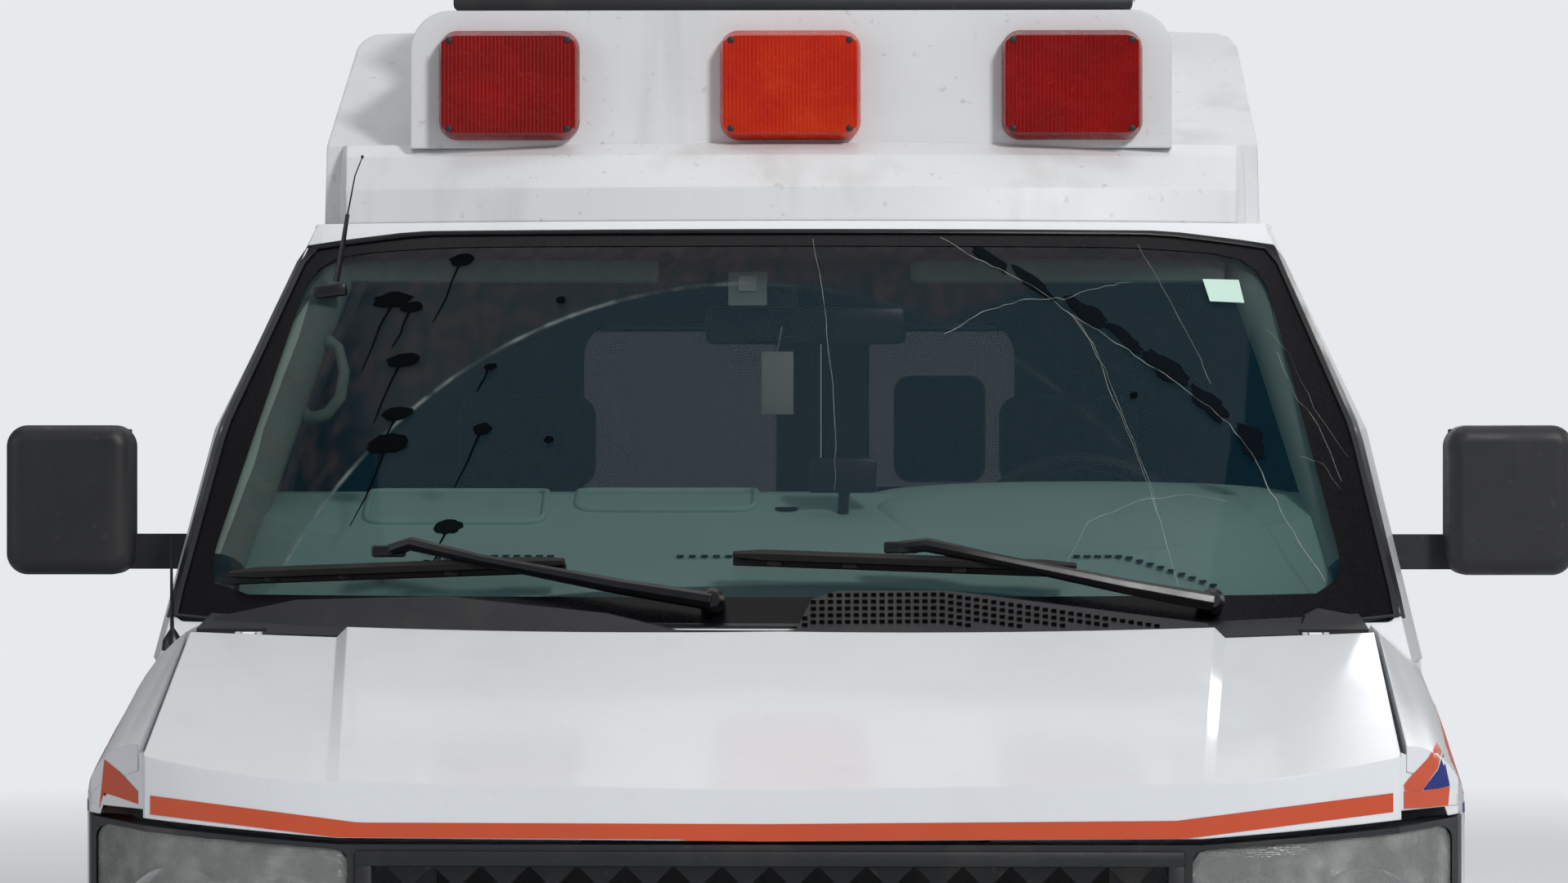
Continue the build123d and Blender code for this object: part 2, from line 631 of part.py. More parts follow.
# Cab frame: pillars, header, cowl box, firewall, hinge posts, sills and seal lips
cab_rear_cut = block((-FAR, FAR), (CAB_REAR, CAB_REAR + LENGTH), (0, 3 * FAR))
cab_lip = seal_lip(FRONT_OUTLINE, DOOR_GAP) - cab_rear_cut
with BuildPart() as cab_frame:
    add(cab_loft(0))
    add(cab_loft(SIDE_WALL), mode=Mode.SUBTRACT)
    add(front_prism(SCREEN_OUTLINE, 700, 1790, 0, SCREEN_CORNER), mode=Mode.SUBTRACT)
    add(doorway(FRONT_OUTLINE, DOOR_GAP), mode=Mode.SUBTRACT)
    add(mirror(doorway(FRONT_OUTLINE, DOOR_GAP), about=Plane.YZ), mode=Mode.SUBTRACT)
    sill = side_band(FENDER_REAR, CAB_REAR, 0, SIDE_WALL, SILL_Z, DOOR_LOW - DOOR_GAP)
    post = side_band(POST_FRONT, FENDER_REAR, FENDER_SKIN + SEAT_GAP, POST_DEPTH, SILL_Z, BELT_Z)
    for piece in both([sill, post, cab_lip]):
        add(piece)
    add(body_slice(FIREWALL_FRONT, FENDER_REAR, POST_DEPTH - 5, FIREWALL_LOW, BELT_Z))
    inner_x = COVER_X - COVER_WALL
    engine_way = block((-inner_x, inner_x), (FIREWALL_FRONT, FENDER_REAR), (0, COVER_TOP - COVER_WALL))
    add(engine_way, mode=Mode.SUBTRACT)
    with BuildSketch(Plane.XY.offset(COWL_LOW)):
        with BuildLine():
            front_y = at(HOOD_REAR_MID + DOOR_GAP)
            corner_y = at(HOOD_REAR_END + DOOR_GAP)
            ThreePointArc((-COWL_X, corner_y), (0, front_y), (COWL_X, corner_y))
            Polyline((COWL_X, corner_y), (COWL_REAR_X, at(POST_FRONT)), (COWL_REAR_X, at(FENDER_REAR)))
            Line((COWL_REAR_X, at(FENDER_REAR)), (-COWL_REAR_X, at(FENDER_REAR)))
            Polyline((-COWL_REAR_X, at(FENDER_REAR)), (-COWL_REAR_X, at(POST_FRONT)), (-COWL_X, corner_y))
        make_face()
    extrude(amount=BELT_Z - COWL_LOW)
    for piece in both([doorway(FRONT_OUTLINE, DOOR_GAP - SEAL_REACH)]):
        add(piece & block((-FAR, FAR), (FENDER_REAR, CAB_REAR), (0, 3 * FAR)), mode=Mode.SUBTRACT)
    ear_span = (HOOD_AXIS[0] - 10, HOOD_AXIS[0] + 10)
    ear_z = (BELT_Z, HOOD_AXIS[1] + HOOD_BARREL_R)
    for inner in (HOOD_HINGE_X - 12 - HOOD_EAR, HOOD_HINGE_X + 12):
        for piece in both([block((inner, inner + HOOD_EAR), ear_span, ear_z)]):
            add(piece)
    pin_span = (HOOD_HINGE_X - 12 - HOOD_EAR, HOOD_HINGE_X + 12 + HOOD_EAR)
    for piece in both([crossbar(pin_span, *HOOD_AXIS, HINGE_PIN_R)]):
        add(piece)
    for low in (LOW_HINGE, HIGH_HINGE):
        pieces = body_knuckles(WAIST_X, FRONT_AXIS, low)
        for start in (low, low + KNUCKLE + BARREL):
            tab = (FENDER_REAR, FENDER_REAR + HINGE_TAB)
            pieces.append(block((WAIST_X - POST_DEPTH, WAIST_X - HINGE_PIN_R), tab, (start, start + KNUCKLE)))
        for piece in both(pieces):
            add(piece)
save(cab_frame.part, "cab_frame")


# Body sides behind the cab; the right one has the side doorway
WINDOW_OUTLINE = ((2640, WINDOW_LOW), (2640, WINDOW_TOP), (3640, WINDOW_TOP), (3640, WINDOW_LOW))


def pane_cut(outline, growth=0):
    """Cut through the left side for a window with round corners."""
    return side_prism(outline, ROOF_X - 2 * SIDE_WALL, FAR, growth, WINDOW_CORNER)


def pane(outline, front, rear):
    """Glass that fills a window cut in the left side."""
    glass = side_band(front, rear, GLASS_DEPTH, GLASS_DEPTH + GLASS)
    return glass & pane_cut(outline, -SEAT_GAP)


with BuildPart() as body_side:
    add(side_band(CAB_REAR, REAR_FRAME, 0, SIDE_WALL))
    add(crossbar((ROOF_X - SIDE_WALL, FAR), REAR_AXLE, TYRE_R, REAR_ARCH_R), mode=Mode.SUBTRACT)
blank_side = body_side.part

with BuildPart() as body_side_left:
    add(blank_side)
    add(pane_cut(WINDOW_OUTLINE), mode=Mode.SUBTRACT)
save(body_side_left.part, "body_side_left")
save(pane(WINDOW_OUTLINE, CAB_REAR, REAR_FRAME), "side_window_left")

with BuildPart() as body_side_right:
    add(blank_side)
    add(doorway(SIDE_OUTLINE, 0), mode=Mode.SUBTRACT)
    add(seal_lip(SIDE_OUTLINE, 0))
    for station in SIDE_AXES:
        for low in (LOW_HINGE, HIGH_HINGE):
            add(hinge_space(WAIST_X, station, low), mode=Mode.SUBTRACT)
            for piece in body_knuckles(WAIST_X, station, low):
                add(piece)
            away = -1 if station == SIDE_AXES[0] else 1
            tabs = sorted((station + away * (HINGE_R - 3), station + away * 26))
            for start in (low, low + KNUCKLE + BARREL):
                add(block((WAIST_X - 12, WAIST_X - 2), tabs, (start, start + KNUCKLE)))
save(mirror(body_side_right.part, about=Plane.YZ), "body_side_right")


# Rear frame round the back doors, with its corner posts
REAR_OUTLINE = (
    (-REAR_DOOR_X, REAR_DOOR_LOW),
    (REAR_DOOR_X, REAR_DOOR_LOW),
    (REAR_DOOR_X, BELT_Z),
    (REAR_DOOR_TOP_X, REAR_DOOR_TOP),
    (-REAR_DOOR_TOP_X, REAR_DOOR_TOP),
    (-REAR_DOOR_X, BELT_Z),
)
with BuildPart() as rear_frame:
    add(body_slice(REAR_FRAME, BODY_REAR, 0, REAR_FRAME_LOW, ROOF_Z))
    corners = rear_frame.edges().filter_by_position(Axis.Y, at(BODY_REAR), at(BODY_REAR))
    fillet(corners.filter_by(lambda edge: abs(edge.center().X) > REAR_DOOR_X and edge.length > 50), 35)
    add(front_prism(REAR_OUTLINE, REAR_FRAME - 10, BODY_REAR + 10, DOOR_GAP), mode=Mode.SUBTRACT)
    lip_front, lip_rear = REAR_FRAME, BODY_REAR - SEAL_DEPTH - 2
    add(front_prism(REAR_OUTLINE, lip_front, lip_rear, DOOR_GAP + 5))
    add(front_prism(REAR_OUTLINE, lip_front, lip_rear, DOOR_GAP - SEAL_REACH), mode=Mode.SUBTRACT)
    for side in (-1, 1):
        x = side * REAR_AXIS_X
        for low in (REAR_LOW_HINGE, REAR_HIGH_HINGE):
            high = low + 2 * KNUCKLE + BARREL
            station = BODY_REAR + REAR_HINGE_PROUD
            for piece in body_knuckles(x, station, low):
                add(piece)
            strap = sorted((x + side * 2, x + side * STRAP_REACH))
            for start in (low, high - KNUCKLE):
                add(block(strap, (BODY_REAR, BODY_REAR + STRAP), (start, start + KNUCKLE)))
save(rear_frame.part, "rear_frame")


# Nose of the body in plan, at a depth behind its front
def nose(depth, low, high):
    """Solid behind the curved nose at a depth, between two heights."""
    flat = [(NOSE_FLAT_X, NOSE_FRONT), NOSE_MID, NOSE_CORNER, NOSE_SIDE, NOSE_TAIL]
    right = [(x, at(station)) for x, station in flat]
    left = [(-x, y) for x, y in right]
    tail = at(FENDER_REAR + 2 * depth)
    with BuildPart() as solid:
        with BuildSketch(Plane.XY.offset(low)):
            with BuildLine():
                Line(left[0], right[0])
                ThreePointArc(right[0], right[1], right[2])
                Polyline(*right[2:], (NOSE_TAIL[0], tail))
                Line((NOSE_TAIL[0], tail), (-NOSE_TAIL[0], tail))
                Polyline((-NOSE_TAIL[0], tail), *reversed(left[2:]))
                ThreePointArc(left[2], left[1], left[0])
            make_face()
            if depth:
                offset(amount=-depth, kind=Kind.INTERSECTION)
        extrude(amount=high - low)
    return solid.part


# Hood: top skin with the raised middle, front lip, crease and hinge arms
def hood_solid(drop):
    """Solid below the hood's top surface, lowered by a drop."""
    with BuildPart() as solid:
        for station, middle, crease_x, crease, step, seam in HOOD_SECTIONS:
            with BuildSketch(cross_plane(station)):
                with BuildLine():
                    right = [
                        (0, middle - drop),
                        (crease_x, crease - drop),
                        (crease_x + 16, crease - step - drop),
                        (FAR, seam - drop),
                        (FAR, 900 - drop),
                        (0, 900 - drop),
                    ]
                    Polyline(*right, close=True)
                make_face()
                mirror(about=Plane.YZ)
        loft(ruled=True)
    return solid.part


with BuildPart() as hood_panel:
    add(hood_solid(0))
    with BuildSketch(Plane.XY.offset(900)):
        with BuildLine():
            seam_front, seam_rear = HOOD_SEAM
            rear_y = at(HOOD_REAR_END)
            ThreePointArc((-seam_rear[0], rear_y), (0, at(HOOD_REAR_MID)), (seam_rear[0], rear_y))
            Line((seam_rear[0], rear_y), (seam_front[0], at(seam_front[1])))
            Line((seam_front[0], at(seam_front[1])), (-seam_front[0], at(seam_front[1])))
            Line((-seam_front[0], at(seam_front[1])), (-seam_rear[0], rear_y))
        make_face()
    extrude(amount=600, mode=Mode.INTERSECT)
    add(nose(0, 900, 1500), mode=Mode.INTERSECT)
    add(hood_solid(HOOD_SKIN) & nose(HOOD_SKIN, 800, 1500), mode=Mode.SUBTRACT)
    low = [(FAR, 0), *[(x, z) for x, z in reversed(HOOD_LIP)]]
    low += [(-x, z) for x, z in HOOD_LIP[1:]] + [(-FAR, 0)]
    add(front_prism(low, 0, 1000), mode=Mode.SUBTRACT)
    arm = ((810, 1262), (870, 1274), (900, 1292), (922, 1288), (918, 1278), (880, 1252), (815, 1240))
    for side in (-1, 1):
        x = sorted((side * (HOOD_HINGE_X - 10), side * (HOOD_HINGE_X + 10)))
        add(side_prism(arm, *x))
        add(crossbar(x, *HOOD_AXIS, HOOD_BARREL_R))
        add(crossbar(x, *HOOD_AXIS, HINGE_PIN_R + HINGE_CLEAR), mode=Mode.SUBTRACT)
save(hood_panel.part, "hood_panel")


# Fenders: skin, wheel arch and liner
def fender_block():
    """Solid under the left fender's skin."""
    with BuildPart() as solid:
        for station, seam_x, seam_z, crest_x, crest_z, side, side_z, knee, sill in FENDER_SECTIONS:
            with BuildSketch(cross_plane(station)):
                with BuildLine():
                    ThreePointArc((seam_x, seam_z), (crest_x, crest_z), (side, side_z))
                    Polyline((side, side_z), (knee, KNEE_Z), (sill, SILL_Z))
                    Polyline((sill, SILL_Z), (seam_x, SILL_Z), (seam_x, seam_z))
                make_face()
        loft(ruled=True)
    return solid.part


def panel_outline(low):
    """Front outline of the grille panel from a height up."""
    top = [(FAR, NOSE_TOP_FAR), (NOSE_FLAT_X, NOSE_TOP), (-NOSE_FLAT_X, NOSE_TOP), (-FAR, NOSE_TOP_FAR)]
    return [(-FAR, low), (FAR, low), *top]


fender_outer = fender_block()
fender_inner = Pos(-FENDER_SKIN, 0, -FENDER_SKIN) * fender_outer
arch_liner = crossbar((LINER_IN, FAR), FRONT_AXLE, TYRE_R, ARCH_R + LINER)
arch_liner -= crossbar((LINER_IN + LINER, FAR), FRONT_AXLE, TYRE_R, ARCH_R)
liner_reach = fender_outer + block((0, SILL_X - FENDER_SKIN), (0, FENDER_REAR), (0, 2 * FAR))
arch_liner &= liner_reach & block((0, FAR), (0, FENDER_REAR), (LINER_LOW, 2 * FAR))
with BuildPart() as front_fenders:
    add(fender_outer)
    add(fender_inner, mode=Mode.SUBTRACT)
    add(nose(0, 0, 2000), mode=Mode.INTERSECT)
    panel_zone = nose(0, 0, FAR) - nose(NOSE_THICK + SEAT_GAP, 0, FAR)
    panel_zone &= front_prism(panel_outline(0), 0, PANEL_REAR + SHUT_LINE, SHUT_LINE)
    add(panel_zone, mode=Mode.SUBTRACT)
    add(block((0, FAR), (0, 800), (0, FENDER_NOSE_LOW)), mode=Mode.SUBTRACT)
    add(crossbar((0, FAR), FRONT_AXLE, TYRE_R, ARCH_R), mode=Mode.SUBTRACT)
    add(arch_liner)
    for low in (LOW_HINGE, HIGH_HINGE):
        add(hinge_space(WAIST_X, FRONT_AXIS, low), mode=Mode.SUBTRACT)
    add(cab_frame.part, mode=Mode.SUBTRACT)
    add(cab_loft(0), mode=Mode.SUBTRACT)
    mirror(about=Plane.YZ)
save(front_fenders.part, "front_fenders")


# Grille panel: the nose between the bumper and the hood, with its mesh and lamp openings
def lamp_outline(x_in, x_out, low, top_in, top_out):
    """Front outline of the left headlamp."""
    return ((x_in, low), (x_out, low), (x_out, top_out), (x_in, top_in))


LAMP_OUTLINE = lamp_outline(LAMP_IN, LAMP_OUT, LAMP_LOW, LAMP_TOP_IN, LAMP_TOP_OUT)
nose_band = nose(0, NOSE_LOW, FAR) - nose(NOSE_THICK, NOSE_LOW, FAR)
with BuildPart() as grille:
    add(nose_band)
    add(front_prism(panel_outline(NOSE_LOW), 0, PANEL_REAR), mode=Mode.INTERSECT)
    for piece in both([front_prism(LAMP_OUTLINE, 0, 600, 0, LAMP_CORNER)]):
        add(piece, mode=Mode.SUBTRACT)
    middle = (GRILLE_LOW + GRILLE_TOP) / 2
    height = GRILLE_TOP - GRILLE_LOW
    with BuildSketch(cross_plane(NOSE_FRONT - 10)):
        with Locations((0, middle)):
            RectangleRounded(2 * GRILLE_X, height, GRILLE_CORNER)
    extrude(amount=-NOSE_THICK - 30, mode=Mode.SUBTRACT)
    with BuildSketch(cross_plane(NOSE_FRONT + 25)):
        with Locations((0, middle)):
            Rectangle(2 * GRILLE_X + 20, height + 20)
            with GridLocations(MESH_X, MESH_Z, MESH_COLUMNS, MESH_ROWS):
                Rectangle(MESH_HOLE, MESH_HOLE, rotation=45, mode=Mode.SUBTRACT)
            with GridLocations(MESH_X, MESH_Z, MESH_COLUMNS - 1, MESH_ROWS - 1):
                Rectangle(MESH_HOLE, MESH_HOLE, rotation=45, mode=Mode.SUBTRACT)
    extrude(amount=-6)
    add(block((-GRILLE_X - 5, GRILLE_X + 5), (NOSE_FRONT + 8, NOSE_FRONT + 40), (middle - 32, middle + 32)))
    stay = block((400, 440), (NOSE_FRONT + NOSE_THICK - 5, RADIATOR_FRONT), (660, 740))
    for piece in both([stay]):
        add(piece)
save(grille.part, "grille")

lamp_cut = front_prism(LAMP_OUTLINE, 0, 600, -SEAT_GAP, LAMP_CORNER)
lamp_shell = (nose(2, NOSE_LOW, FAR) - nose(NOSE_THICK + 30, NOSE_LOW, FAR)) & lamp_cut
with BuildPart() as headlamps:
    add(lamp_shell)
    mirror(about=Plane.YZ)
save(headlamps.part, "headlamps")


# Front bumper with its brackets to the rails
with BuildPart() as front_bumper:
    with BuildSketch(Plane.XY.offset(BUMPER_LOW)):
        with BuildLine():
            Line((-BUMPER_FLAT, at(0)), (BUMPER_FLAT, at(0)))
            TangentArc((BUMPER_FLAT, at(0)), (BUMPER_X, at(190)), tangent=(1, 0))
            end_y, tip_y = at(190), at(330)
            end_in, tip_in = BUMPER_X - BUMPER_THICK, BUMPER_X - BUMPER_THICK + 25
            Polyline((BUMPER_X, end_y), (BUMPER_X, tip_y), (tip_in, tip_y), (end_in, end_y))
            Line((end_in, end_y), (BUMPER_FLAT, at(BUMPER_THICK)))
            Line((BUMPER_FLAT, at(BUMPER_THICK)), (-BUMPER_FLAT, at(BUMPER_THICK)))
            Line((-BUMPER_FLAT, at(BUMPER_THICK)), (-end_in, end_y))
            Polyline((-end_in, end_y), (-tip_in, tip_y), (-BUMPER_X, tip_y), (-BUMPER_X, end_y))
            TangentArc((-BUMPER_FLAT, at(0)), (-BUMPER_X, end_y), tangent=(-1, 0))
        make_face()
    extrude(amount=BUMPER_TOP - BUMPER_LOW)
    for side in (-1, 1):
        x = sorted((side * (RAIL_X - 25), side * (RAIL_X + 25)))
        add(block(x, (BUMPER_THICK, RAIL_FRONT), (RAIL_LOW + 10, RAIL_TOP - 10)))
        add(crosswise_hole(side * PLATE_HALF, 0, PLATE_FRONT_Z), mode=Mode.SUBTRACT)
save(front_bumper.part, "front_bumper")


# Rear step bumper with its brackets
with BuildPart() as rear_bumper:
    add(block((-985, 985), (REAR_FRAME + 2, LENGTH), (400, 562)))
    corners = rear_bumper.edges().filter_by(Axis.Z).sort_by(Axis.Y)[-2:]
    fillet(corners, 60)
    fillet(rear_bumper.faces().sort_by(Axis.Z)[-1].edges().sort_by(Axis.Y)[-1], 12)
    for side in (-1, 1):
        x = sorted((side * (RAIL_X - 25), side * (RAIL_X + 25)))
        add(block(x, (RAIL_REAR, REAR_FRAME + 2), (RAIL_LOW + 5, 560)))
        add(crosswise_hole(side * PLATE_HALF, LENGTH, PLATE_REAR_Z), mode=Mode.SUBTRACT)
save(rear_bumper.part, "rear_bumper")


# Cowl panel between the hood and the windscreen, with its smooth and louvred humps
with BuildPart() as cowl_panel:
    with BuildSketch(Plane.XY.offset(BELT_Z)):
        with BuildLine():
            front_y = at(HOOD_REAR_MID + DOOR_GAP)
            corner_y = at(HOOD_REAR_END + DOOR_GAP)
            ThreePointArc((-COWL_X, corner_y), (0, front_y), (COWL_X, corner_y))
            Line((COWL_X, corner_y), (COWL_X, at(1160)))
            Line((COWL_X, at(1160)), (-COWL_X, at(1160)))
            Line((-COWL_X, at(1160)), (-COWL_X, corner_y))
        make_face()
    extrude(amount=110)
    for piece in both([side_prism(COWL_SLOPE, -FAR, 0)]):
        add(piece, mode=Mode.SUBTRACT)
    hump_zone = cab_loft(-HUMP_FRONT) - cab_loft(-HUMP_REAR)
    for outline in COWL_HUMPS:
        add(hump_zone & front_prism(outline, 700, 1300))
    add(cab_loft(-1.5), mode=Mode.SUBTRACT)
    for side in (-1, 1):
        x = sorted((side * (HOOD_HINGE_X - 26), side * FAR))
        add(block(x, (850, HOOD_AXIS[0] + 24), (BELT_Z, 1400)), mode=Mode.SUBTRACT)
save(cowl_panel.part, "cowl_panel")


# Windscreen
with BuildPart() as windscreen:
    add(cab_loft(SCREEN_DEPTH))
    add(cab_loft(SCREEN_DEPTH + SCREEN_THICK), mode=Mode.SUBTRACT)
    add(front_prism(SCREEN_OUTLINE, 700, 1790, -SEAT_GAP, SCREEN_CORNER), mode=Mode.INTERSECT)
save(windscreen.part, "windscreen")


# Wipers: a blade on the glass, an arm over it and a boss on the cowl, as front-view outlines
with BuildPart() as wipers:
    blade_zone = cab_loft(-BLADE_PROUD) - cab_loft(SCREEN_DEPTH - SEAT_GAP)
    arm_zone = cab_loft(-ARM_PROUD) - cab_loft(2 - BLADE_PROUD)
    for pivot, joint, blade in WIPERS:
        for zone, ends, half in ((blade_zone, blade, BLADE_HALF), (arm_zone, (pivot, joint), ARM_HALF)):
            low_side = [(x, z - half) for x, z in ends]
            high_side = [(x, z + half) for x, z in reversed(ends)]
            add(zone & front_prism(low_side + high_side, 700, 1790))
        with BuildSketch(cross_plane(700)):
            with Locations(pivot):
                Circle(BOSS_R)
        boss = extrude(amount=700 - 1300, mode=Mode.PRIVATE)
        add(boss & (cab_loft(-ARM_PROUD - 4) - cab_loft(SCREEN_DEPTH - SEAT_GAP)))
    add(cowl_panel.part, mode=Mode.SUBTRACT)
save(wipers.part, "wipers")


# Doors of the sides, as left doors: outer flange, inner box set back from it, window and hinges
def side_leaf(outline, window, axis):
    """Left door with its window cut and hinge barrels."""
    front, rear = outline[0][0], outline[-1][0]
    with BuildPart() as leaf:
        add(side_band(front, rear, 0, DOOR_FLANGE) & doorway(outline, 0))
        add(side_band(front, rear, DOOR_FLANGE, DOOR_DEPTH) & doorway(outline, -DOOR_STEP))
        add(pane_cut(window), mode=Mode.SUBTRACT)
        for low in (LOW_HINGE, HIGH_HINGE):
            for space in knuckle_space(WAIST_X, axis, low):
                add(space, mode=Mode.SUBTRACT)
            add(door_barrel(WAIST_X, axis, low))
            add(hinge_bore(WAIST_X, axis, low), mode=Mode.SUBTRACT)
    return leaf.part


front_leaf = side_leaf(FRONT_OUTLINE, FRONT_WINDOW, FRONT_AXIS)
front_pane = pane(FRONT_WINDOW, *FRONT_DOOR)
save(front_leaf, "front_door_left")
save(mirror(front_leaf, about=Plane.YZ), "front_door_right")
save(front_pane, "front_door_glass_left")
save(mirror(front_pane, about=Plane.YZ), "front_door_glass_right")

ends = (SIDE_DOORWAY[0] + DOOR_GAP, SIDE_DOOR_MEET, SIDE_DOOR_MEET + DOOR_GAP, SIDE_DOORWAY[1] - DOOR_GAP)
for name, front, rear, axis in (("front", *ends[:2], SIDE_AXES[0]), ("rear", *ends[2:], SIDE_AXES[1])):
    outline = ((front, DOOR_LOW), (front, DOOR_TOP), (rear, DOOR_TOP), (rear, DOOR_LOW))
    near, far = front + WINDOW_STILE, rear - WINDOW_STILE
    window = ((near, WINDOW_LOW), (near, WINDOW_TOP), (far, WINDOW_TOP), (far, WINDOW_LOW))
    save(mirror(side_leaf(outline, window, axis), about=Plane.YZ), f"side_door_{name}")
    save(mirror(pane(window, front, rear), about=Plane.YZ), f"side_door_glass_{name}")


# Rear doors
HALF_OUTLINE = (
    (REAR_MEET_HALF, REAR_DOOR_LOW),
    (REAR_DOOR_X, REAR_DOOR_LOW),
    (REAR_DOOR_X, BELT_Z),
    (REAR_DOOR_TOP_X, REAR_DOOR_TOP),
    (REAR_MEET_HALF, REAR_DOOR_TOP),
)
REAR_WINDOW = (
    (REAR_STILE, WINDOW_LOW),
    (REAR_WINDOW_X, WINDOW_LOW),
    (REAR_WINDOW_TOP_X, REAR_WINDOW_TOP),
    (REAR_STILE, REAR_WINDOW_TOP),
)
with BuildPart() as rear_door_left:
    add(front_prism(HALF_OUTLINE, BODY_REAR - DOOR_FLANGE, BODY_REAR))
    add(front_prism(HALF_OUTLINE, BODY_REAR - REAR_SLAB, BODY_REAR - DOOR_FLANGE, -DOOR_STEP))
    window_span = (BODY_REAR - 2 * REAR_SLAB, BODY_REAR + REAR_SLAB)
    add(front_prism(REAR_WINDOW, *window_span, 0, WINDOW_CORNER), mode=Mode.SUBTRACT)
    for low in (REAR_LOW_HINGE, REAR_HIGH_HINGE):
        station = BODY_REAR + REAR_HINGE_PROUD
        start = low + KNUCKLE + HINGE_CLEAR
        height = (start, start + BARREL - 2 * HINGE_CLEAR)
        add(block((REAR_AXIS_X - STRAP_REACH, REAR_AXIS_X - 2), (BODY_REAR, BODY_REAR + STRAP), height))
        add(door_barrel(REAR_AXIS_X, station, low))
        add(hinge_bore(REAR_AXIS_X, station, low), mode=Mode.SUBTRACT)
save(rear_door_left.part, "rear_door_left")
save(mirror(rear_door_left.part, about=Plane.YZ), "rear_door_right")
glass_rear = BODY_REAR - GLASS_DEPTH
rear_pane = front_prism(REAR_WINDOW, glass_rear - GLASS, glass_rear, -SEAT_GAP, WINDOW_CORNER)
save(rear_pane, "rear_door_glass_left")
save(mirror(rear_pane, about=Plane.YZ), "rear_door_glass_right")


# Door mirrors: housing and arm
with BuildPart() as mirror_left:
    add(block((1045, 1245), (1405, 1495), (1368, 1606)))
    fillet(mirror_left.edges().filter_by(Axis.Y), 34)
    fillet(mirror_left.faces().sort_by(Axis.Y)[0].edges(), 26)
    add(block((900, 1090), (1478, 1512), (1376, 1432)))
    add(body_slice(1300, 1700, -SEAT_GAP, SILL_Z, ROOF_Z), mode=Mode.SUBTRACT)
save(mirror_left.part, "mirror_left")
save(mirror(mirror_left.part, about=Plane.YZ), "mirror_right")


# Raised roof: brow over the windscreen, lamp pod, slanted front and long crowned back
def roof_solid(depth):
    """Solid under the raised roof's skin, at a depth below it."""
    half, top = ROOF_SHELL_X - depth, ROOF_TOP - depth
    side = [(half - ROOF_LEAN, top - 40), (half - ROOF_LEAN - 10, top - 12), (half - ROOF_LEAN - 40, top)]
    across = [(-x, z) for x, z in reversed(side)]
    with BuildPart() as solid:
        with BuildSketch(cross_plane(ROOF_FRONT)):
            with BuildLine():
                Line((half, ROOF_Z), side[0])
                ThreePointArc(*side)
                ThreePointArc(side[-1], (0, top + ROOF_CROWN), across[0])
                ThreePointArc(*across)
                Line(across[-1], (-half, ROOF_Z))
                Line((-half, ROOF_Z), (half, ROOF_Z))
            make_face()
        extrude(amount=ROOF_FRONT - ROOF_REAR + depth)
        back = ROOF_REAR + FAR
        profile = (
            (ROOF_BREAK + depth, ROOF_Z),
            (ROOF_BREAK + depth, BROW_TOP - depth),
            (ROOF_SLANT + depth, ROOF_TOP + ROOF_CROWN - depth),
            (back, ROOF_TOP + ROOF_CROWN - depth),
            (back, ROOF_Z),
        )
        add(side_prism(profile, -FAR, FAR), mode=Mode.INTERSECT)
    with BuildPart() as brow:
        squeeze = (BROW_TOP - ROOF_Z - depth) / (BROW_TOP - ROOF_Z)
        for height, middle, corner_x, corner, half, side in BROW_SECTIONS:
            with BuildSketch(Plane.XY.offset(ROOF_Z + (height - ROOF_Z) * squeeze)):
                with BuildLine():
                    end = at(ROOF_SLANT)
                    ThreePointArc((-corner_x, at(corner)), (0, at(middle)), (corner_x, at(corner)))
                    Polyline((corner_x, at(corner)), (half, at(side)), (half, end))
                    Line((half, end), (-half, end))
                    Polyline((-half, end), (-half, at(side)), (-corner_x, at(corner)))
                make_face()
                if depth:
                    offset(amount=-depth, kind=Kind.INTERSECTION)
        loft(ruled=True)
    with BuildPart() as pod:
        with BuildSketch(cross_plane(POD_FRONT + depth)):
            with Locations((0, (POD_LOW + POD_TOP) / 2 - depth)):
                Rectangle(2 * (POD_X - depth), POD_TOP - POD_LOW)
        extrude(amount=POD_FRONT + depth - ROOF_SLANT - 60)
        uppers = pod.edges().filter_by(Axis.Y).group_by(Axis.Z)[-1]
        fillet(uppers, POD_ROUND - depth)
    return solid.part + brow.part + pod.part


with BuildPart() as raised_roof:
    add(roof_solid(0))
    add(roof_solid(ROOF_SKIN), mode=Mode.SUBTRACT)
save(raised_roof.part, "raised_roof")


# Lamps on the pod's face
with BuildPart() as roof_lamps:
    flange = POD_FRONT - 16
    for x in (-ROOF_LAMP_X, 0, ROOF_LAMP_X):
        for front, rear, inset in ((flange, POD_FRONT, 0), (POD_FRONT - ROOF_LAMP_PROUD, flange, 9)):
            with BuildSketch(cross_plane(front)):
                with Locations((x, ROOF_LAMP_Z)):
                    width, height = ROOF_LAMP_W - 2 * inset, ROOF_LAMP_H - 2 * inset
                    RectangleRounded(width, height, ROOF_LAMP_CORNER - inset)
            extrude(amount=front - rear)
save(roof_lamps.part, "roof_lamps")


# Light bar on two feet
with BuildPart() as light_bar:
    bar_low = POD_TOP + BAR_FOOT
    span = (BAR_STATION - BAR_DEPTH / 2, BAR_STATION + BAR_DEPTH / 2)
    add(block((-BAR_HALF, BAR_HALF), span, (bar_low, bar_low + BAR_HEIGHT)))
    fillet(light_bar.edges().filter_by(Axis.Z), 70)
    fillet(light_bar.faces().sort_by(Axis.Z)[-1].edges(), 30)
    for side in (-1, 1):
        x = sorted((side * 380, side * 450))
        add(block(x, (BAR_STATION - 90, BAR_STATION + 90), (POD_TOP, bar_low)))
save(light_bar.part, "light_bar")


# Tail lamps on the corner posts
with BuildPart() as tail_lamps:
    with BuildSketch(cross_plane(BODY_REAR)):
        with Locations((905, 960), (-905, 960)):
            RectangleRounded(76, 300, 14)
    extrude(amount=-10)
save(tail_lamps.part, "tail_lamps")


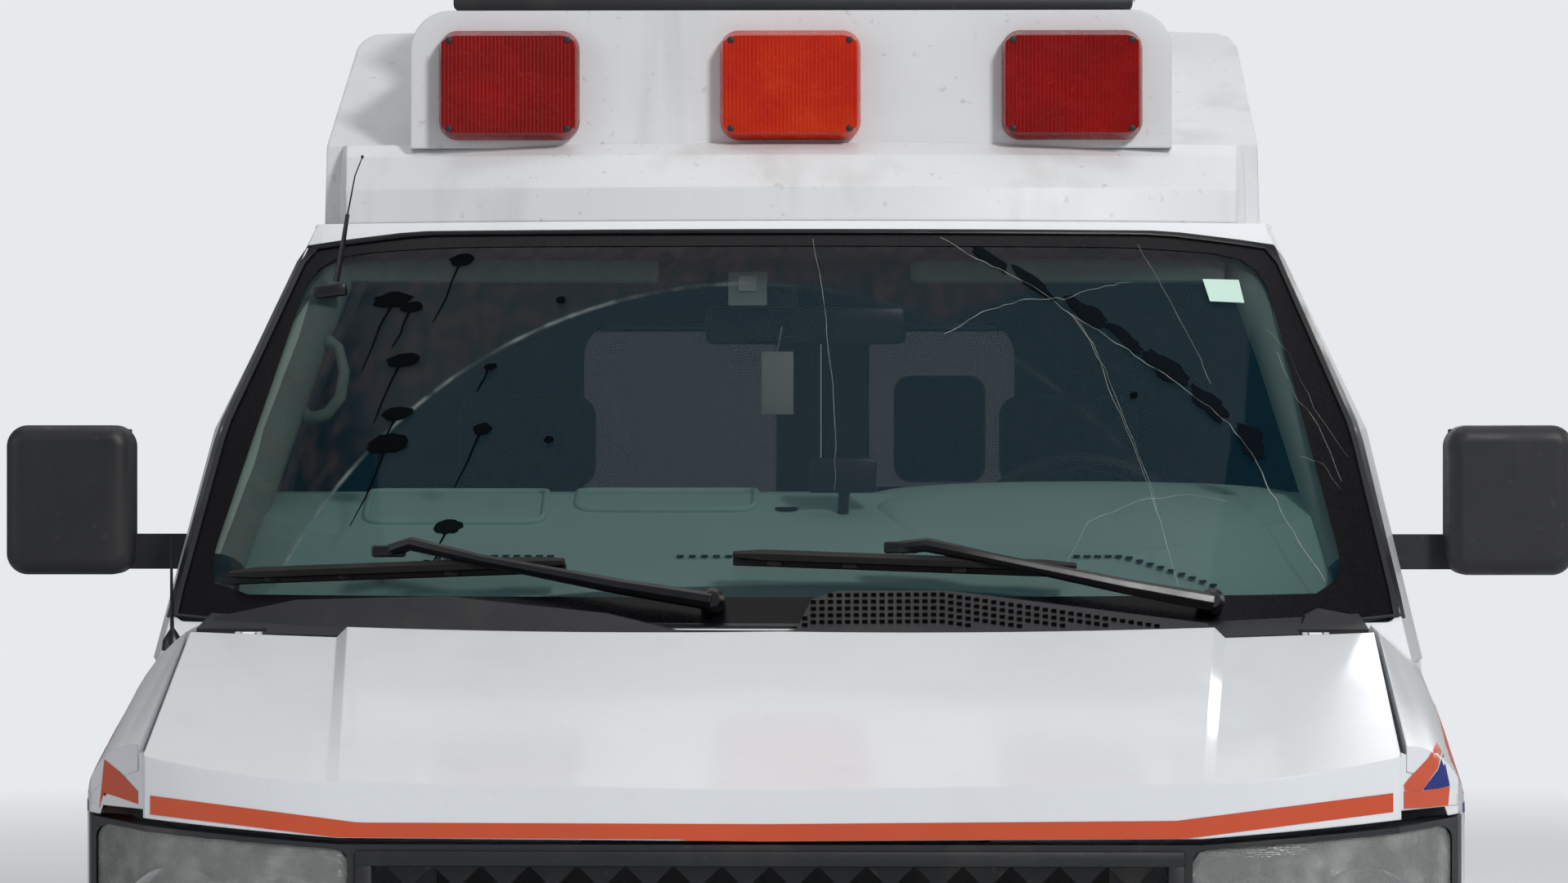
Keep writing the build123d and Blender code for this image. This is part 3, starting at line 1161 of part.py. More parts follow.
# Dashboard under the windscreen
with BuildPart() as dashboard:
    profile = (
        (1040, 1362),
        (1400, 1497),
        (1460, 1500),
        (1520, 1450),
        (1545, 1330),
        (1525, 1180),
        (1480, 1120),
        (1430, 1120),
        (1450, 1290),
        (1110, 1290),
    )
    add(side_prism(profile, -850, 850))
    cab_inside = cab_loft(SIDE_WALL + SEAT_GAP + 0.2, CAB_REAR)
    outside = block((-FAR, FAR), (900, 1700), (BELT_Z, 1600)) - cab_inside
    add(outside, mode=Mode.SUBTRACT)
save(dashboard.part, "dashboard")


# Steering wheel on its column
wheel_plane = Plane(origin=(470, at(1705), 1375), x_dir=(1, 0, 0), z_dir=(0, 0.906, 0.423))
with BuildPart() as steering_wheel:
    with BuildSketch(Plane(origin=wheel_plane.origin, x_dir=(1, 0, 0), z_dir=(0, -0.423, 0.906))):
        with Locations((190, 0)):
            RegularPolygon(15, 6)
    revolve(axis=Axis(wheel_plane.origin, wheel_plane.z_dir))
    with BuildSketch(wheel_plane):
        Circle(62)
        Rectangle(370, 26)
        with Locations((0, -95)):
            Rectangle(26, 180)
    extrude(amount=-18)
    with BuildSketch(wheel_plane.offset(-18)):
        Circle(32)
    extrude(amount=-230)
    add(dashboard.part, mode=Mode.SUBTRACT)
save(steering_wheel.part, "steering_wheel")


# Cab seats on their pedestals
with BuildPart() as cab_seats:
    profile = (
        (1860, 700),
        (2180, 700),
        (2180, 960),
        (2250, 960),
        (2330, 1480),
        (2240, 1490),
        (2150, 1150),
        (1790, 1130),
        (1775, 980),
        (1860, 960),
    )
    add(side_prism(profile, SEAT_X - SEAT_W / 2, SEAT_X + SEAT_W / 2))
    mirror(about=Plane.YZ)
save(cab_seats.part, "cab_seats")


# Bulkhead behind the cab, with its walk-through
inside = SIDE_WALL + FLOOR_SIDE_GAP
with BuildPart() as partition:
    add(body_slice(*BULKHEAD, inside, FLOOR_TOP, ROOF_Z - SEAT_GAP))
    with BuildSketch(cross_plane(BULKHEAD[0])):
        with Locations((0, 1250)):
            RectangleRounded(760, 1080, 60)
    extrude(amount=BULKHEAD[0] - BULKHEAD[1], mode=Mode.SUBTRACT)
save(partition.part, "partition")


# Cabinets along the left wall, clear of the wheel box
wheel_box = (REAR_AXLE - REAR_ARCH_R - 20, REAR_AXLE + REAR_ARCH_R + 20)
box_space = block((WHEEL_BOX_X - 6, FAR), wheel_box, (0, 832))
front, rear = CABINETS
with BuildPart() as cabinets:
    add(body_slice(front, rear, inside, FLOOR_TOP, 1180) & block((560, FAR), CABINETS, (0, 2 * FAR)))
    add(body_slice(front + 1060, rear, inside, 1520, 1900) & block((560, FAR), CABINETS, (0, 2 * FAR)))
    add(box_space, mode=Mode.SUBTRACT)
save(cabinets.part, "cabinets")


# Bench along the right wall, and its cushion
bench_block = block((420, FAR), (BENCH_FRONT, rear), (0, 2 * FAR))
with BuildPart() as bench:
    add(body_slice(BENCH_FRONT, rear, inside, FLOOR_TOP, 1080) & bench_block)
    add(box_space, mode=Mode.SUBTRACT)
save(mirror(bench.part, about=Plane.YZ), "bench")
cushion = body_slice(BENCH_FRONT + 10, rear - 10, inside + 5, 1080 + SEAT_GAP, 1160) & bench_block
save(mirror(cushion, about=Plane.YZ), "bench_cushion")


# Attendant's seat behind the walk-through, facing the rear
with BuildPart() as attendant_seat:
    add(block((100, 400), (2800, 3120), (FLOOR_TOP, 1060)))
    add(block((20, 480), (2760, 3200), (1060, 1160)))
    add(block((20, 480), (2700, 2790), (1060, 1500)))
    add(block((163, 338), (2710, 2780), (1500, 1704)))
save(attendant_seat.part, "attendant_seat")


# Wheels and tyres
def wheel_plane_at(x, station):
    """Plane through a wheel's axis: its X runs outboard and its Y is the radius."""
    return Plane(origin=(x, at(station), TYRE_R), x_dir=(1, 0, 0), z_dir=(0, -1, 0))


def rim(x, station):
    """Left rim with its disc, hub and hub cap."""
    half = RIM_W / 2
    bore = SPINDLE_R + SPINDLE_CLEAR
    with BuildPart() as wheel:
        with BuildSketch(wheel_plane_at(x, station)):
            with BuildLine():
                Polyline(
                    (-half, RIM_R - RIM_WALL),
                    (-half, RIM_FLANGE_R),
                    (8 - half, RIM_FLANGE_R),
                    (8 - half, RIM_R),
                    (half - 8, RIM_R),
                    (half - 8, RIM_FLANGE_R),
                    (half, RIM_FLANGE_R),
                    (half, RIM_R - RIM_WALL),
                    (DISC_OUT, RIM_R - RIM_WALL),
                    (DISC_OUT + 22, 150),
                    (DISC_OUT + 10, HUB_R),
                    (HUB_CAP, HUB_R - 8),
                    (HUB_CAP, 0),
                    (HUB_CAP - HUB_CAP_WALL, 0),
                    (HUB_CAP - HUB_CAP_WALL, bore),
                    (-HUB_BACK, bore),
                    (-HUB_BACK, HUB_R),
                    (DISC_OUT, HUB_R),
                    (DISC_OUT + 12, 150),
                    (DISC_OUT - 12, RIM_R - RIM_WALL),
                    close=True,
                )
            make_face()
        revolve(axis=Axis((x, at(station), TYRE_R), (1, 0, 0)))
        with BuildSketch(Plane.YZ.offset(x)):
            with Locations((at(station), TYRE_R)):
                with PolarLocations(122, 8):
                    Circle(15)
        extrude(amount=150, mode=Mode.SUBTRACT)
    return wheel.part


def tyre(x, station):
    """Left tyre, seated on its rim, with flat-faced shoulders and dished sides."""
    half = TYRE_W / 2
    bead_depth = half - (RIM_W / 2 - 8 - SEAT_GAP)
    bead = (RIM_FLANGE_R + 2) / math.cos(math.pi / TYRE_SIDES)
    seat = (RIM_R + SEAT_GAP) / math.cos(math.pi / TYRE_SIDES)

    def disc(out, radius):
        with BuildSketch(Plane.YZ.offset(x + out), mode=Mode.PRIVATE) as sketch:
            with Locations((at(station), TYRE_R)):
                RegularPolygon(radius, TYRE_SIDES)
        return sketch.sketch

    with BuildPart() as ring:
        extrude(disc(-half, TYRE_R), amount=TYRE_W)
        for end in (0, -1):
            for down_side, across_tread in TYRE_SHOULDER:
                face = ring.faces().sort_by(Axis.X)[end]
                chamfer(face.edges(), down_side, across_tread, reference=face)
        extrude(disc(-half, bead), amount=bead_depth, mode=Mode.SUBTRACT)
        extrude(disc(half, bead), amount=-bead_depth, mode=Mode.SUBTRACT)
        for end in (0, -1):
            face = ring.faces().filter_by(Plane.YZ).sort_by(Axis.X)[end]
            chamfer(face.inner_wires()[0].edges(), TYRE_DISH, bead_depth - BEAD_LIP, reference=face)
        extrude(disc(-half, seat), amount=TYRE_W, mode=Mode.SUBTRACT)
    return ring.part


AXLES = (("front", FRONT_HALF_TRACK, FRONT_AXLE), ("rear", REAR_HALF_TRACK, REAR_AXLE))
for place, half_track, station in AXLES:
    left_rim, left_tyre = rim(half_track, station), tyre(half_track, station)
    save(left_rim, f"rim_{place}_left")
    save(left_tyre, f"tyre_{place}_left")
    save(mirror(left_rim, about=Plane.YZ), f"rim_{place}_right")
    save(mirror(left_tyre, about=Plane.YZ), f"tyre_{place}_right")
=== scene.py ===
import math
import random

import bmesh
import bpy
from mathutils import Matrix, Vector
from mathutils.bvhtree import BVHTree


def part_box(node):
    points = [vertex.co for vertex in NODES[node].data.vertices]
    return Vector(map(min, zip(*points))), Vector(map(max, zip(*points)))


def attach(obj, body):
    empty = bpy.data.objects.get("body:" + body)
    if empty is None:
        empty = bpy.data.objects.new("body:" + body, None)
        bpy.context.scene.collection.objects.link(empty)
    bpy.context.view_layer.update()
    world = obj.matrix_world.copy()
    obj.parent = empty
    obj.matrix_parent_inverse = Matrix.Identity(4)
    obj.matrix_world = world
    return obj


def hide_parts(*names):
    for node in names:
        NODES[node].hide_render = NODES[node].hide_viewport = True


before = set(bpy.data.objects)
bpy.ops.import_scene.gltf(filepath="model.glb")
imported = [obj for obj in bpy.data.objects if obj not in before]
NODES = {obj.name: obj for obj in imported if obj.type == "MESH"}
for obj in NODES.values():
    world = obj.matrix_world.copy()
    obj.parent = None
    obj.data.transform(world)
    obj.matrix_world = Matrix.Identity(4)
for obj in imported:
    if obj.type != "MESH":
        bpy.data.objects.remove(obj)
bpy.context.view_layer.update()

# Lengths are metres. +X is the driver's side, +Y the rear, +Z up, and a station is a distance
# behind the front bumper's face.
LENGTH = 5.690
BUMPER_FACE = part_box("front_bumper")[0].y

# The photograph's camera: its place, its turn and its focal length in pixels of the photograph
PHOTO_W, PHOTO_H = 1917, 1080
EYE = Vector((0.177, BUMPER_FACE - 7.72, 1.58))
YAW = 0.0200
FOCAL = 7039

RNG = random.Random(7)
SIDES = ((1, "left"), (-1, "right"))


def at(station):
    """Y of a station."""
    return BUMPER_FACE + station


# Colours are given as they look on a screen, from 0 to 255
def screen(red, green, blue):
    """Linear colour of a screen colour."""
    return tuple((value / 255) ** 2.2 for value in (red, green, blue)) + (1.0,)


def shade(color, factor):
    """A colour made darker or lighter."""
    return tuple(min(1.0, value * factor) for value in color[:3]) + (1.0,)


class Nodes:
    """Short way to build a material from nodes, with constants on the shader's own sockets."""

    def __init__(self, name, **constants):
        self.material = bpy.data.materials.new(name)
        self.material.use_nodes = True
        self.tree = self.material.node_tree
        self.shader = self.tree.nodes["Principled BSDF"]
        for key, value in constants.items():
            self.shader.inputs[key.replace("_", " ")].default_value = value
        self.place = self.add("ShaderNodeTexCoord").outputs["Object"]

    def add(self, kind, **values):
        """New node with its socket values set by name."""
        node = self.tree.nodes.new(kind)
        for key, value in values.items():
            if key in node.inputs:
                node.inputs[key].default_value = value
            else:
                setattr(node, key, value)
        return node

    def join(self, source, target):
        self.tree.links.new(source, target)

    def noise(self, scale, detail=4.0, stretch=(1, 1, 1)):
        """Noise over the object's own space, stretched along its axes."""
        mapping = self.add("ShaderNodeMapping")
        mapping.inputs["Scale"].default_value = stretch
        self.join(self.place, mapping.inputs["Vector"])
        noise = self.add("ShaderNodeTexNoise", Scale=scale, Detail=detail)
        self.join(mapping.outputs["Vector"], noise.inputs["Vector"])
        return noise.outputs["Fac"]

    def span(self, value, low, high, new_low=0.0, new_high=1.0):
        """Values between low and high mapped to a new span."""
        node = self.add("ShaderNodeMapRange")
        for key, number in (("From Min", low), ("From Max", high), ("To Min", new_low), ("To Max", new_high)):
            node.inputs[key].default_value = number
        self.join(value, node.inputs["Value"])
        return node.outputs["Result"]

    def maths(self, operation, first, second):
        """One operation on two values."""
        node = self.add("ShaderNodeMath", operation=operation)
        for socket, value in zip(node.inputs, (first, second)):
            if isinstance(value, (int, float)):
                socket.default_value = value
            else:
                self.join(value, socket)
        return node.outputs[0]

    def times(self, first, second):
        return self.maths("MULTIPLY", first, second)

    def mix(self, factor, first, second):
        """Mix of two colours."""
        node = self.add("ShaderNodeMix", data_type="RGBA")
        self.join(factor, node.inputs["Factor"])
        for socket, value in ((node.inputs[6], first), (node.inputs[7], second)):
            if isinstance(value, tuple):
                socket.default_value = value
            else:
                self.join(value, socket)
        return node.outputs[2]

    def axis(self, letter):
        """One coordinate of the object's own space."""
        split = self.add("ShaderNodeSeparateXYZ")
        self.join(self.place, split.inputs[0])
        return split.outputs[letter]

    def color(self, value):
        self.join(value, self.shader.inputs["Base Color"])

    def rough(self, value):
        self.join(value, self.shader.inputs["Roughness"])

    def relief(self, height, strength, distance, edge=0.0):
        """Bump from a height, over edges rounded by a radius."""
        bump = self.add("ShaderNodeBump", Strength=strength, Distance=distance)
        self.join(height, bump.inputs["Height"])
        if edge:
            bevel = self.add("ShaderNodeBevel", samples=4, Radius=edge)
            self.join(bevel.outputs["Normal"], bump.inputs["Normal"])
        self.join(bump.outputs["Normal"], self.shader.inputs["Normal"])


def surface(name, color, rough, *, metal=0.0, coat=0.0, spread=0.06, size=3.0, grain=400.0, depth=0.0,
            dirt=0.0, dirt_color=(120, 108, 92), edge=0.0, specular=0.5, alpha=1.0, uneven=0.07):
    """General material: mottled colour, uneven gloss, fine grain and dirt that runs down."""
    color = screen(*color)
    made = Nodes(name, Metallic=metal, Coat_Weight=coat, Coat_Roughness=0.08, Specular_IOR_Level=specular,
                 Alpha=alpha)
    broad = made.span(made.noise(size), 0.35, 0.65)
    shown = made.mix(broad, shade(color, 1 - spread), shade(color, 1 + spread))
    if dirt:
        runs = made.span(made.noise(9.0, 6.0, (1, 1, 0.12)), 0.54, 0.78)
        specks = made.span(made.noise(55.0, 3.0), 0.66, 0.74)
        amount = made.times(made.maths("MAXIMUM", runs, specks), dirt)
        shown = made.mix(amount, shown, screen(*dirt_color))
    made.color(shown)
    fine = made.noise(grain, 3.0)
    made.rough(made.span(made.noise(size * 6), 0.3, 0.7, max(0.02, rough - uneven), min(1.0, rough + uneven)))
    made.relief(fine, depth, 0.001, edge)
    return made.material


# Finishes
PAINT = surface("white_paint", (232, 235, 238), 0.30, coat=0.5, spread=0.012, dirt=0.05, edge=0.004,
                uneven=0.012)
SHELL = surface("roof_gel_coat", (222, 224, 226), 0.38, coat=0.2, spread=0.03, dirt=0.34, edge=0.006,
                dirt_color=(150, 140, 122), grain=160, depth=0.05)
FRAME_BLACK = surface("chassis_black", (38, 38, 40), 0.6, dirt=0.5, grain=120, depth=0.3, edge=0.002)
CAST = surface("cast_metal", (96, 96, 98), 0.6, metal=0.7, dirt=0.5, grain=180, depth=0.5, edge=0.003)
GALVANISED = surface("galvanised", (120, 122, 124), 0.5, metal=0.8, spread=0.2, size=14, dirt=0.4, depth=0.2)
FLOOR_VINYL = surface("floor_vinyl", (92, 96, 98), 0.6, spread=0.1, size=60, grain=700, depth=0.25)
BLACK_PLASTIC = surface("black_plastic", (34, 35, 38), 0.5, spread=0.12, dirt=0.16, grain=900, depth=0.35,
                        edge=0.002, dirt_color=(96, 92, 88))
GLOSS_BLACK = surface("gloss_black", (20, 21, 24), 0.34, spread=0.1, grain=700, depth=0.1, edge=0.002)
RUBBER = surface("black_rubber", (26, 26, 28), 0.66, spread=0.15, grain=500, depth=0.3)
GRILLE_GREY = surface("grille_plastic", (40, 42, 46), 0.45, spread=0.08, dirt=0.25, grain=700, depth=0.15,
                      edge=0.002)
DASH = surface("dash_plastic", (168, 212, 200), 0.7, spread=0.05, grain=300, depth=0.05, edge=0.006)
# Partition behind the cab: the dash's teal made very dark, as painted shade of the dim inside
PARTITION_SHADE = surface("partition_painted_shade", (20, 38, 44), 0.7, spread=0.08, grain=300, depth=0.05, edge=0.003)
TRIM = surface("pale_trim", (150, 172, 160), 0.7, spread=0.05, grain=300, depth=0.05, edge=0.004)
LAMINATE = surface("pale_laminate", (196, 197, 192), 0.4, spread=0.03, grain=300, depth=0.05, edge=0.002)
BRIGHT = surface("bright_metal", (190, 192, 195), 0.28, metal=1.0, spread=0.05, grain=300, depth=0.1)
RIM_PAINT = surface("rim_paint", (208, 209, 210), 0.4, spread=0.05, dirt=0.5, edge=0.002)
ORANGE = surface("orange_film", (206, 84, 52), 0.36, spread=0.05, coat=0.2, grain=260, depth=0.05)
BLUE = surface("blue_film", (28, 42, 120), 0.34, spread=0.08, coat=0.2, grain=260, depth=0.05)
MIRROR = surface("mirror_glass", (214, 218, 222), 0.04, metal=1.0, spread=0.02)
REFLECTOR = surface("lamp_reflector", (170, 172, 172), 0.3, metal=0.9, spread=0.12, size=20)
STICKER = surface("plain_sticker", (198, 226, 214), 0.5, spread=0.03, grain=300)
CARD = surface("plain_card", (168, 172, 164), 0.6, spread=0.1, grain=300)
CLOUDED = surface("clear_plastic", (190, 205, 202), 0.2, spread=0.06, alpha=0.7)
# Near black: painted shade in the openings of the cowl louvres and of the dash's slots and ring, and the dark
# gap round the fuel door
HOLE = surface("opening_shade_and_gap", (10, 10, 12), 0.9, spread=0.3, size=40, specular=0.1)
PLATE = surface("blank_plate", (222, 222, 214), 0.35, spread=0.03, dirt=0.3, grain=200)
TYRE = surface("tyre_rubber", (38, 38, 39), 0.72, spread=0.2, size=8, grain=260, depth=0.4, dirt=0.5)
CLOTH = surface("seat_cloth", (56, 62, 68), 0.9, spread=0.12, size=30, grain=500, depth=0.3)
CLOTH_DARK = surface("seat_cloth_dark", (38, 42, 48), 0.9, spread=0.12, size=30, grain=500, depth=0.3)
VINYL = surface("seat_vinyl", (34, 58, 96), 0.45, spread=0.08, size=12, grain=500, depth=0.4)


def film(name, color, alpha, rough, spread=0.06, specular=0.8):
    """See-through material with faint dust."""
    color = screen(*color)
    made = Nodes(name, Alpha=alpha, Specular_IOR_Level=specular)
    dust = made.span(made.noise(26.0, 6.0), 0.45, 0.8)
    made.color(made.mix(dust, shade(color, 1 - spread), shade(color, 1 + spread)))
    made.rough(made.span(made.noise(40.0), 0.4, 0.8, rough, rough + 0.1))
    return made.material


# Swept by the wipers inside these arcs: X and Z of the centre, and radius
WIPED = ((-0.063, 1.041, 0.790), (0.600, 1.050, 0.800))
# Heights between which the tint at the top of the glass deepens
TINT_LOW, TINT_HIGH = 1.835, 1.895


def swept_glass():
    """Tinted windscreen glass: dusty beyond the wipers' arcs, with a pale line and a dark band at the top."""
    made = Nodes("screen_glass", Specular_IOR_Level=0.25)
    x, z = made.axis("X"), made.axis("Z")
    outside = line = None
    for middle_x, middle_z, radius in WIPED:
        across = made.maths("SUBTRACT", x, middle_x)
        up = made.maths("SUBTRACT", z, middle_z)
        squares = made.maths("ADD", made.times(across, across), made.times(up, up))
        reach = made.maths("POWER", squares, 0.5)
        beyond = made.span(reach, radius - 0.006, radius + 0.012)
        apart = made.maths("ABSOLUTE", made.maths("SUBTRACT", reach, radius), 0.0)
        near = made.span(apart, 0.0, 0.005, 1.0, 0.0)
        outside = beyond if outside is None else made.times(outside, beyond)
        line = near if line is None else line
    streaks = made.span(made.noise(44.0, 5.0, (1, 1, 0.05)), 0.40, 0.62)
    patches = made.span(made.noise(5.0, 5.0), 0.3, 0.7, 0.45, 1.0)
    dust = made.times(outside, made.times(patches, made.span(streaks, 0.0, 1.0, 0.55, 1.0)))
    top = made.times(made.span(z, TINT_LOW, TINT_HIGH), made.span(streaks, 0.0, 1.0, 0.75, 1.0))
    strong = made.span(x, -0.36, 0.02, 1.0, 0.1)
    broken = made.span(made.noise(24.0), 0.4, 0.6, 0.1, 0.7)
    faint = made.times(made.times(line, strong), broken)
    grime = made.mix(streaks, screen(14, 26, 30), screen(56, 48, 50))
    shown = made.mix(dust, screen(0, 44, 56), grime)
    shown = made.mix(faint, shown, screen(150, 160, 156))
    made.color(made.mix(top, shown, screen(34, 27, 32)))
    cover = made.maths("ADD", made.span(dust, 0.0, 1.0, 0.34, 0.46), made.times(faint, 0.3))
    made.join(made.maths("MAXIMUM", cover, made.span(top, 0.0, 1.0, 0.0, 0.9)), made.shader.inputs["Alpha"])
    made.rough(made.span(dust, 0.0, 1.0, 0.02, 0.30))
    return made.material


SCREEN_GLASS = swept_glass()
WINDOW_GLASS = film("window_glass", (4, 24, 32), 0.76, 0.03, specular=0.5)
LENS_CLEAR = film("clouded_lens", (176, 178, 174), 0.42, 0.22, 0.3)
FRIT = surface("glass_border", (15, 14, 19), 0.3, spread=0.2, size=30, grain=500, depth=0.05, specular=0.2)
STAIN = film("dried_dirt", (3, 12, 16), 0.85, 0.7, specular=0.05)
CRACK = surface("glass_crack", (172, 176, 170), 0.5, spread=0.2, size=80, alpha=0.75)
# Dark see-through film of painted shade, laid beside the main crack
CRACK_SHADE = film("glass_shadow", (4, 18, 26), 0.8, 0.4, specular=0.05)


def ribbed_lens(name, color, light):
    """Moulded lamp lens: coloured plastic, paler where its cells catch the light."""
    made = Nodes(name, Coat_Weight=0.15, Coat_Roughness=0.05, Specular_IOR_Level=0.2)
    cells = made.span(made.noise(9.0, 5.0), 0.4, 0.75)
    dust = made.span(made.noise(420.0, 2.0), 0.70, 0.76, 0.0, 0.4)
    made.color(made.mix(dust, made.mix(cells, screen(*color), screen(*light)), screen(220, 150, 110)))
    made.rough(made.span(made.noise(60.0), 0.3, 0.7, 0.16, 0.34))
    return made.material


RED_LENS = ribbed_lens("red_lens", (124, 2, 1), (148, 4, 2))
AMBER_LENS = ribbed_lens("amber_lens", (184, 34, 1), (204, 56, 2))
WHITE_LENS = ribbed_lens("white_lens", (206, 208, 206), (230, 230, 226))

# Finish of the CAD nodes that show as they are, by what their names begin with; a later row wins
FINISHES = (
    (PAINT, ("cab_frame", "body_side", "rear_frame", "front_fenders", "hood_panel", "front_door", "side_door",
             "rear_door", "front_bumper")),
    (SHELL, ("raised_roof",)),
    (FRAME_BLACK, ("chassis_frame", "front_axle", "rear_axle", "knuckle")),
    (CAST, ("engine_block", "radiator")),
    (GALVANISED, ("tank_and_exhaust", "rear_bumper")),
    (FLOOR_VINYL, ("floor_pan",)),
    (BLACK_PLASTIC, ("cowl_panel", "mirror", "steering_wheel")),
    (GRILLE_GREY, ("grille",)),
    (DASH, ("dashboard",)),
    (PARTITION_SHADE, ("partition",)),
    (LAMINATE, ("cabinets", "bench")),
    (SCREEN_GLASS, ("windscreen",)),
    (WINDOW_GLASS, ("side_window", "front_door_glass", "side_door_glass", "rear_door_glass")),
    (RIM_PAINT, ("rim",)),
)
for finish, beginnings in FINISHES:
    for name, node in NODES.items():
        if name.startswith(beginnings):
            node.data.materials.clear()
            node.data.materials.append(finish)


# Points on the surfaces of CAD nodes, and of pieces that are added to them here
SURFACES = dict(NODES)
TREES = {}


def tree(names):
    """Search tree over some CAD nodes."""
    if names not in TREES:
        points, faces = [], []
        for name in names:
            mesh = SURFACES[name].data
            start = len(points)
            points += [vertex.co.copy() for vertex in mesh.vertices]
            faces += [[start + index for index in polygon.vertices] for polygon in mesh.polygons]
        TREES[names] = BVHTree.FromPolygons(points, faces)
    return TREES[names]


def cast(names, start, direction, lift):
    """Point where a ray meets some nodes, lifted off them."""
    found, normal, _, _ = tree(names).ray_cast(start, direction.normalized())
    if found is None:
        return None
    if normal.dot(direction) > 0:
        normal = -normal
    return found + normal * lift


def ray(px, py):
    """Direction from the camera through a pixel of the photograph."""
    forward = Vector((-math.sin(YAW), math.cos(YAW), 0))
    right = Vector((math.cos(YAW), math.sin(YAW), 0))
    return forward + right * (px - PHOTO_W / 2) / FOCAL + Vector((0, 0, (PHOTO_H / 2 - py) / FOCAL))


def seen(names, px, py, lift=0.0):
    """Point that a pixel of the photograph shows on some nodes."""
    return cast(names, EYE, ray(px, py), lift)


def at_depth(px, py, y):
    """Point of a pixel's ray in a plane across the vehicle."""
    direction = ray(px, py)
    return EYE + direction * ((y - EYE.y) / direction.y)


# Where rays start: ahead of and behind the vehicle, beside it, and over the dashboard
AWAY, BESIDE_X, CAB_Z = 1.0, 3.0, 1.70


def ahead(names, x, z, lift=0.0):
    """Point on some nodes at a width and height, seen from ahead."""
    return cast(names, Vector((x, at(-AWAY), z)), Vector((0, 1, 0)), lift)


def body_of(panel):
    """Body that a panel rides on: the hood and each door are bodies of their own."""
    return "hood" if panel == "hood_panel" else panel if "door" in panel else "vehicle"


def behind(names, x, z, lift=0.0):
    """Point on some nodes at a width and height, seen from behind."""
    return cast(names, Vector((x, at(LENGTH + AWAY), z)), Vector((0, -1, 0)), lift)


def beside(names, station, z, side, lift=0.0):
    """Point on some nodes at a station and height, seen from a side."""
    return cast(names, Vector((side * BESIDE_X, at(station), z)), Vector((-side, 0, 0)), lift)


def from_side(side):
    """Caster from one side, for points given as a station and a height."""
    return lambda names, station, z, lift: beside(names, station, z, side, lift)


def down(names, x, station, lift=0.0):
    """Point on some nodes straight below a height in the cab."""
    return cast(names, Vector((x, at(station), CAB_Z)), Vector((0, 0, -1)), lift)


def added(name, data):
    """New object in the scene."""
    made = bpy.data.objects.new(name, data)
    bpy.context.scene.collection.objects.link(made)
    return made


class Form:
    """Mesh that is built up from simple forms and made into one piece."""

    def __init__(self):
        self.mesh = bmesh.new()

    def box(self, low, high, bevel=0.0, steps=2, turn=None):
        """Box between two opposite corners, with rounded edges, turned about its middle."""
        low, high = (Vector([pick(pair) for pair in zip(low, high)]) for pick in (min, max))
        matrix = Matrix.Translation((low + high) / 2)
        if turn is not None:
            matrix = matrix @ turn
        matrix = matrix @ Matrix.Diagonal((*(high - low), 1))
        made = bmesh.ops.create_cube(self.mesh, size=1, matrix=matrix)["verts"]
        if bevel:
            edges = list(dict.fromkeys(edge for vertex in made for edge in vertex.link_edges))
            bmesh.ops.bevel(self.mesh, geom=edges, offset=bevel, segments=steps, affect="EDGES", profile=0.5)
        return self

    def block(self, centre, half, bevel=0.0, turn=None):
        """Box about a centre."""
        return self.box(centre - Vector(half), centre + Vector(half), bevel, turn=turn)

    def loops(self, rows, closed=True, caps=True):
        """Skin over rows of points; each row is a ring unless it is open."""
        rings = [[self.mesh.verts.new(point) for point in row] for row in rows]
        count = len(rings[0])
        for first, second in zip(rings, rings[1:]):
            for index in range(count if closed else count - 1):
                after = (index + 1) % count
                self.mesh.faces.new((first[index], first[after], second[after], second[index]))
        if closed and caps:
            self.mesh.faces.new(list(reversed(rings[0])))
            self.mesh.faces.new(rings[-1])
        return self

    def tube(self, points, radius, sides=10):
        """Round bar along points; the radius may be one for each point."""
        points = [Vector(point) for point in points]
        radii = radius if isinstance(radius, (list, tuple)) else [radius] * len(points)
        rows, across = [], None
        for index, point in enumerate(points):
            before, after = points[max(0, index - 1)], points[min(len(points) - 1, index + 1)]
            along = (after - before).normalized()
            if across is None:
                across = along.orthogonal()
            across = (across - along * across.dot(along)).normalized()
            other = along.cross(across)
            turns = [2 * math.pi * step / sides for step in range(sides)]
            rows.append([point + (across * math.cos(a) + other * math.sin(a)) * radii[index] for a in turns])
        return self.loops(rows)

    def lathe(self, centre, axis, profile, steps=32):
        """Turned form from (along, radius) pairs about an axis through a centre."""
        axis = Vector(axis).normalized()
        across = axis.orthogonal().normalized()
        other = axis.cross(across)
        rows = []
        for along, radius in profile:
            middle = Vector(centre) + axis * along
            turns = [2 * math.pi * step / steps for step in range(steps)]
            rows.append([middle + (across * math.cos(a) + other * math.sin(a)) * radius for a in turns])
        return self.loops(rows)

    def make(self, name, finish, slot, body="vehicle", smooth=40, replaces=()):
        """The finished piece, riding on a body; angles above smooth degrees stay sharp."""
        bmesh.ops.remove_doubles(self.mesh, verts=self.mesh.verts, dist=1e-6)
        bmesh.ops.recalc_face_normals(self.mesh, faces=self.mesh.faces)
        data = bpy.data.meshes.new(name)
        self.mesh.to_mesh(data)
        self.mesh.free()
        data.polygons.foreach_set("use_smooth", [True] * len(data.polygons))
        data.set_sharp_from_angle(angle=math.radians(smooth))
        piece = added(name, data)
        data.materials.append(finish)
        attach(piece, body)
        if replaces:
            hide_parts(*replaces)
        return piece


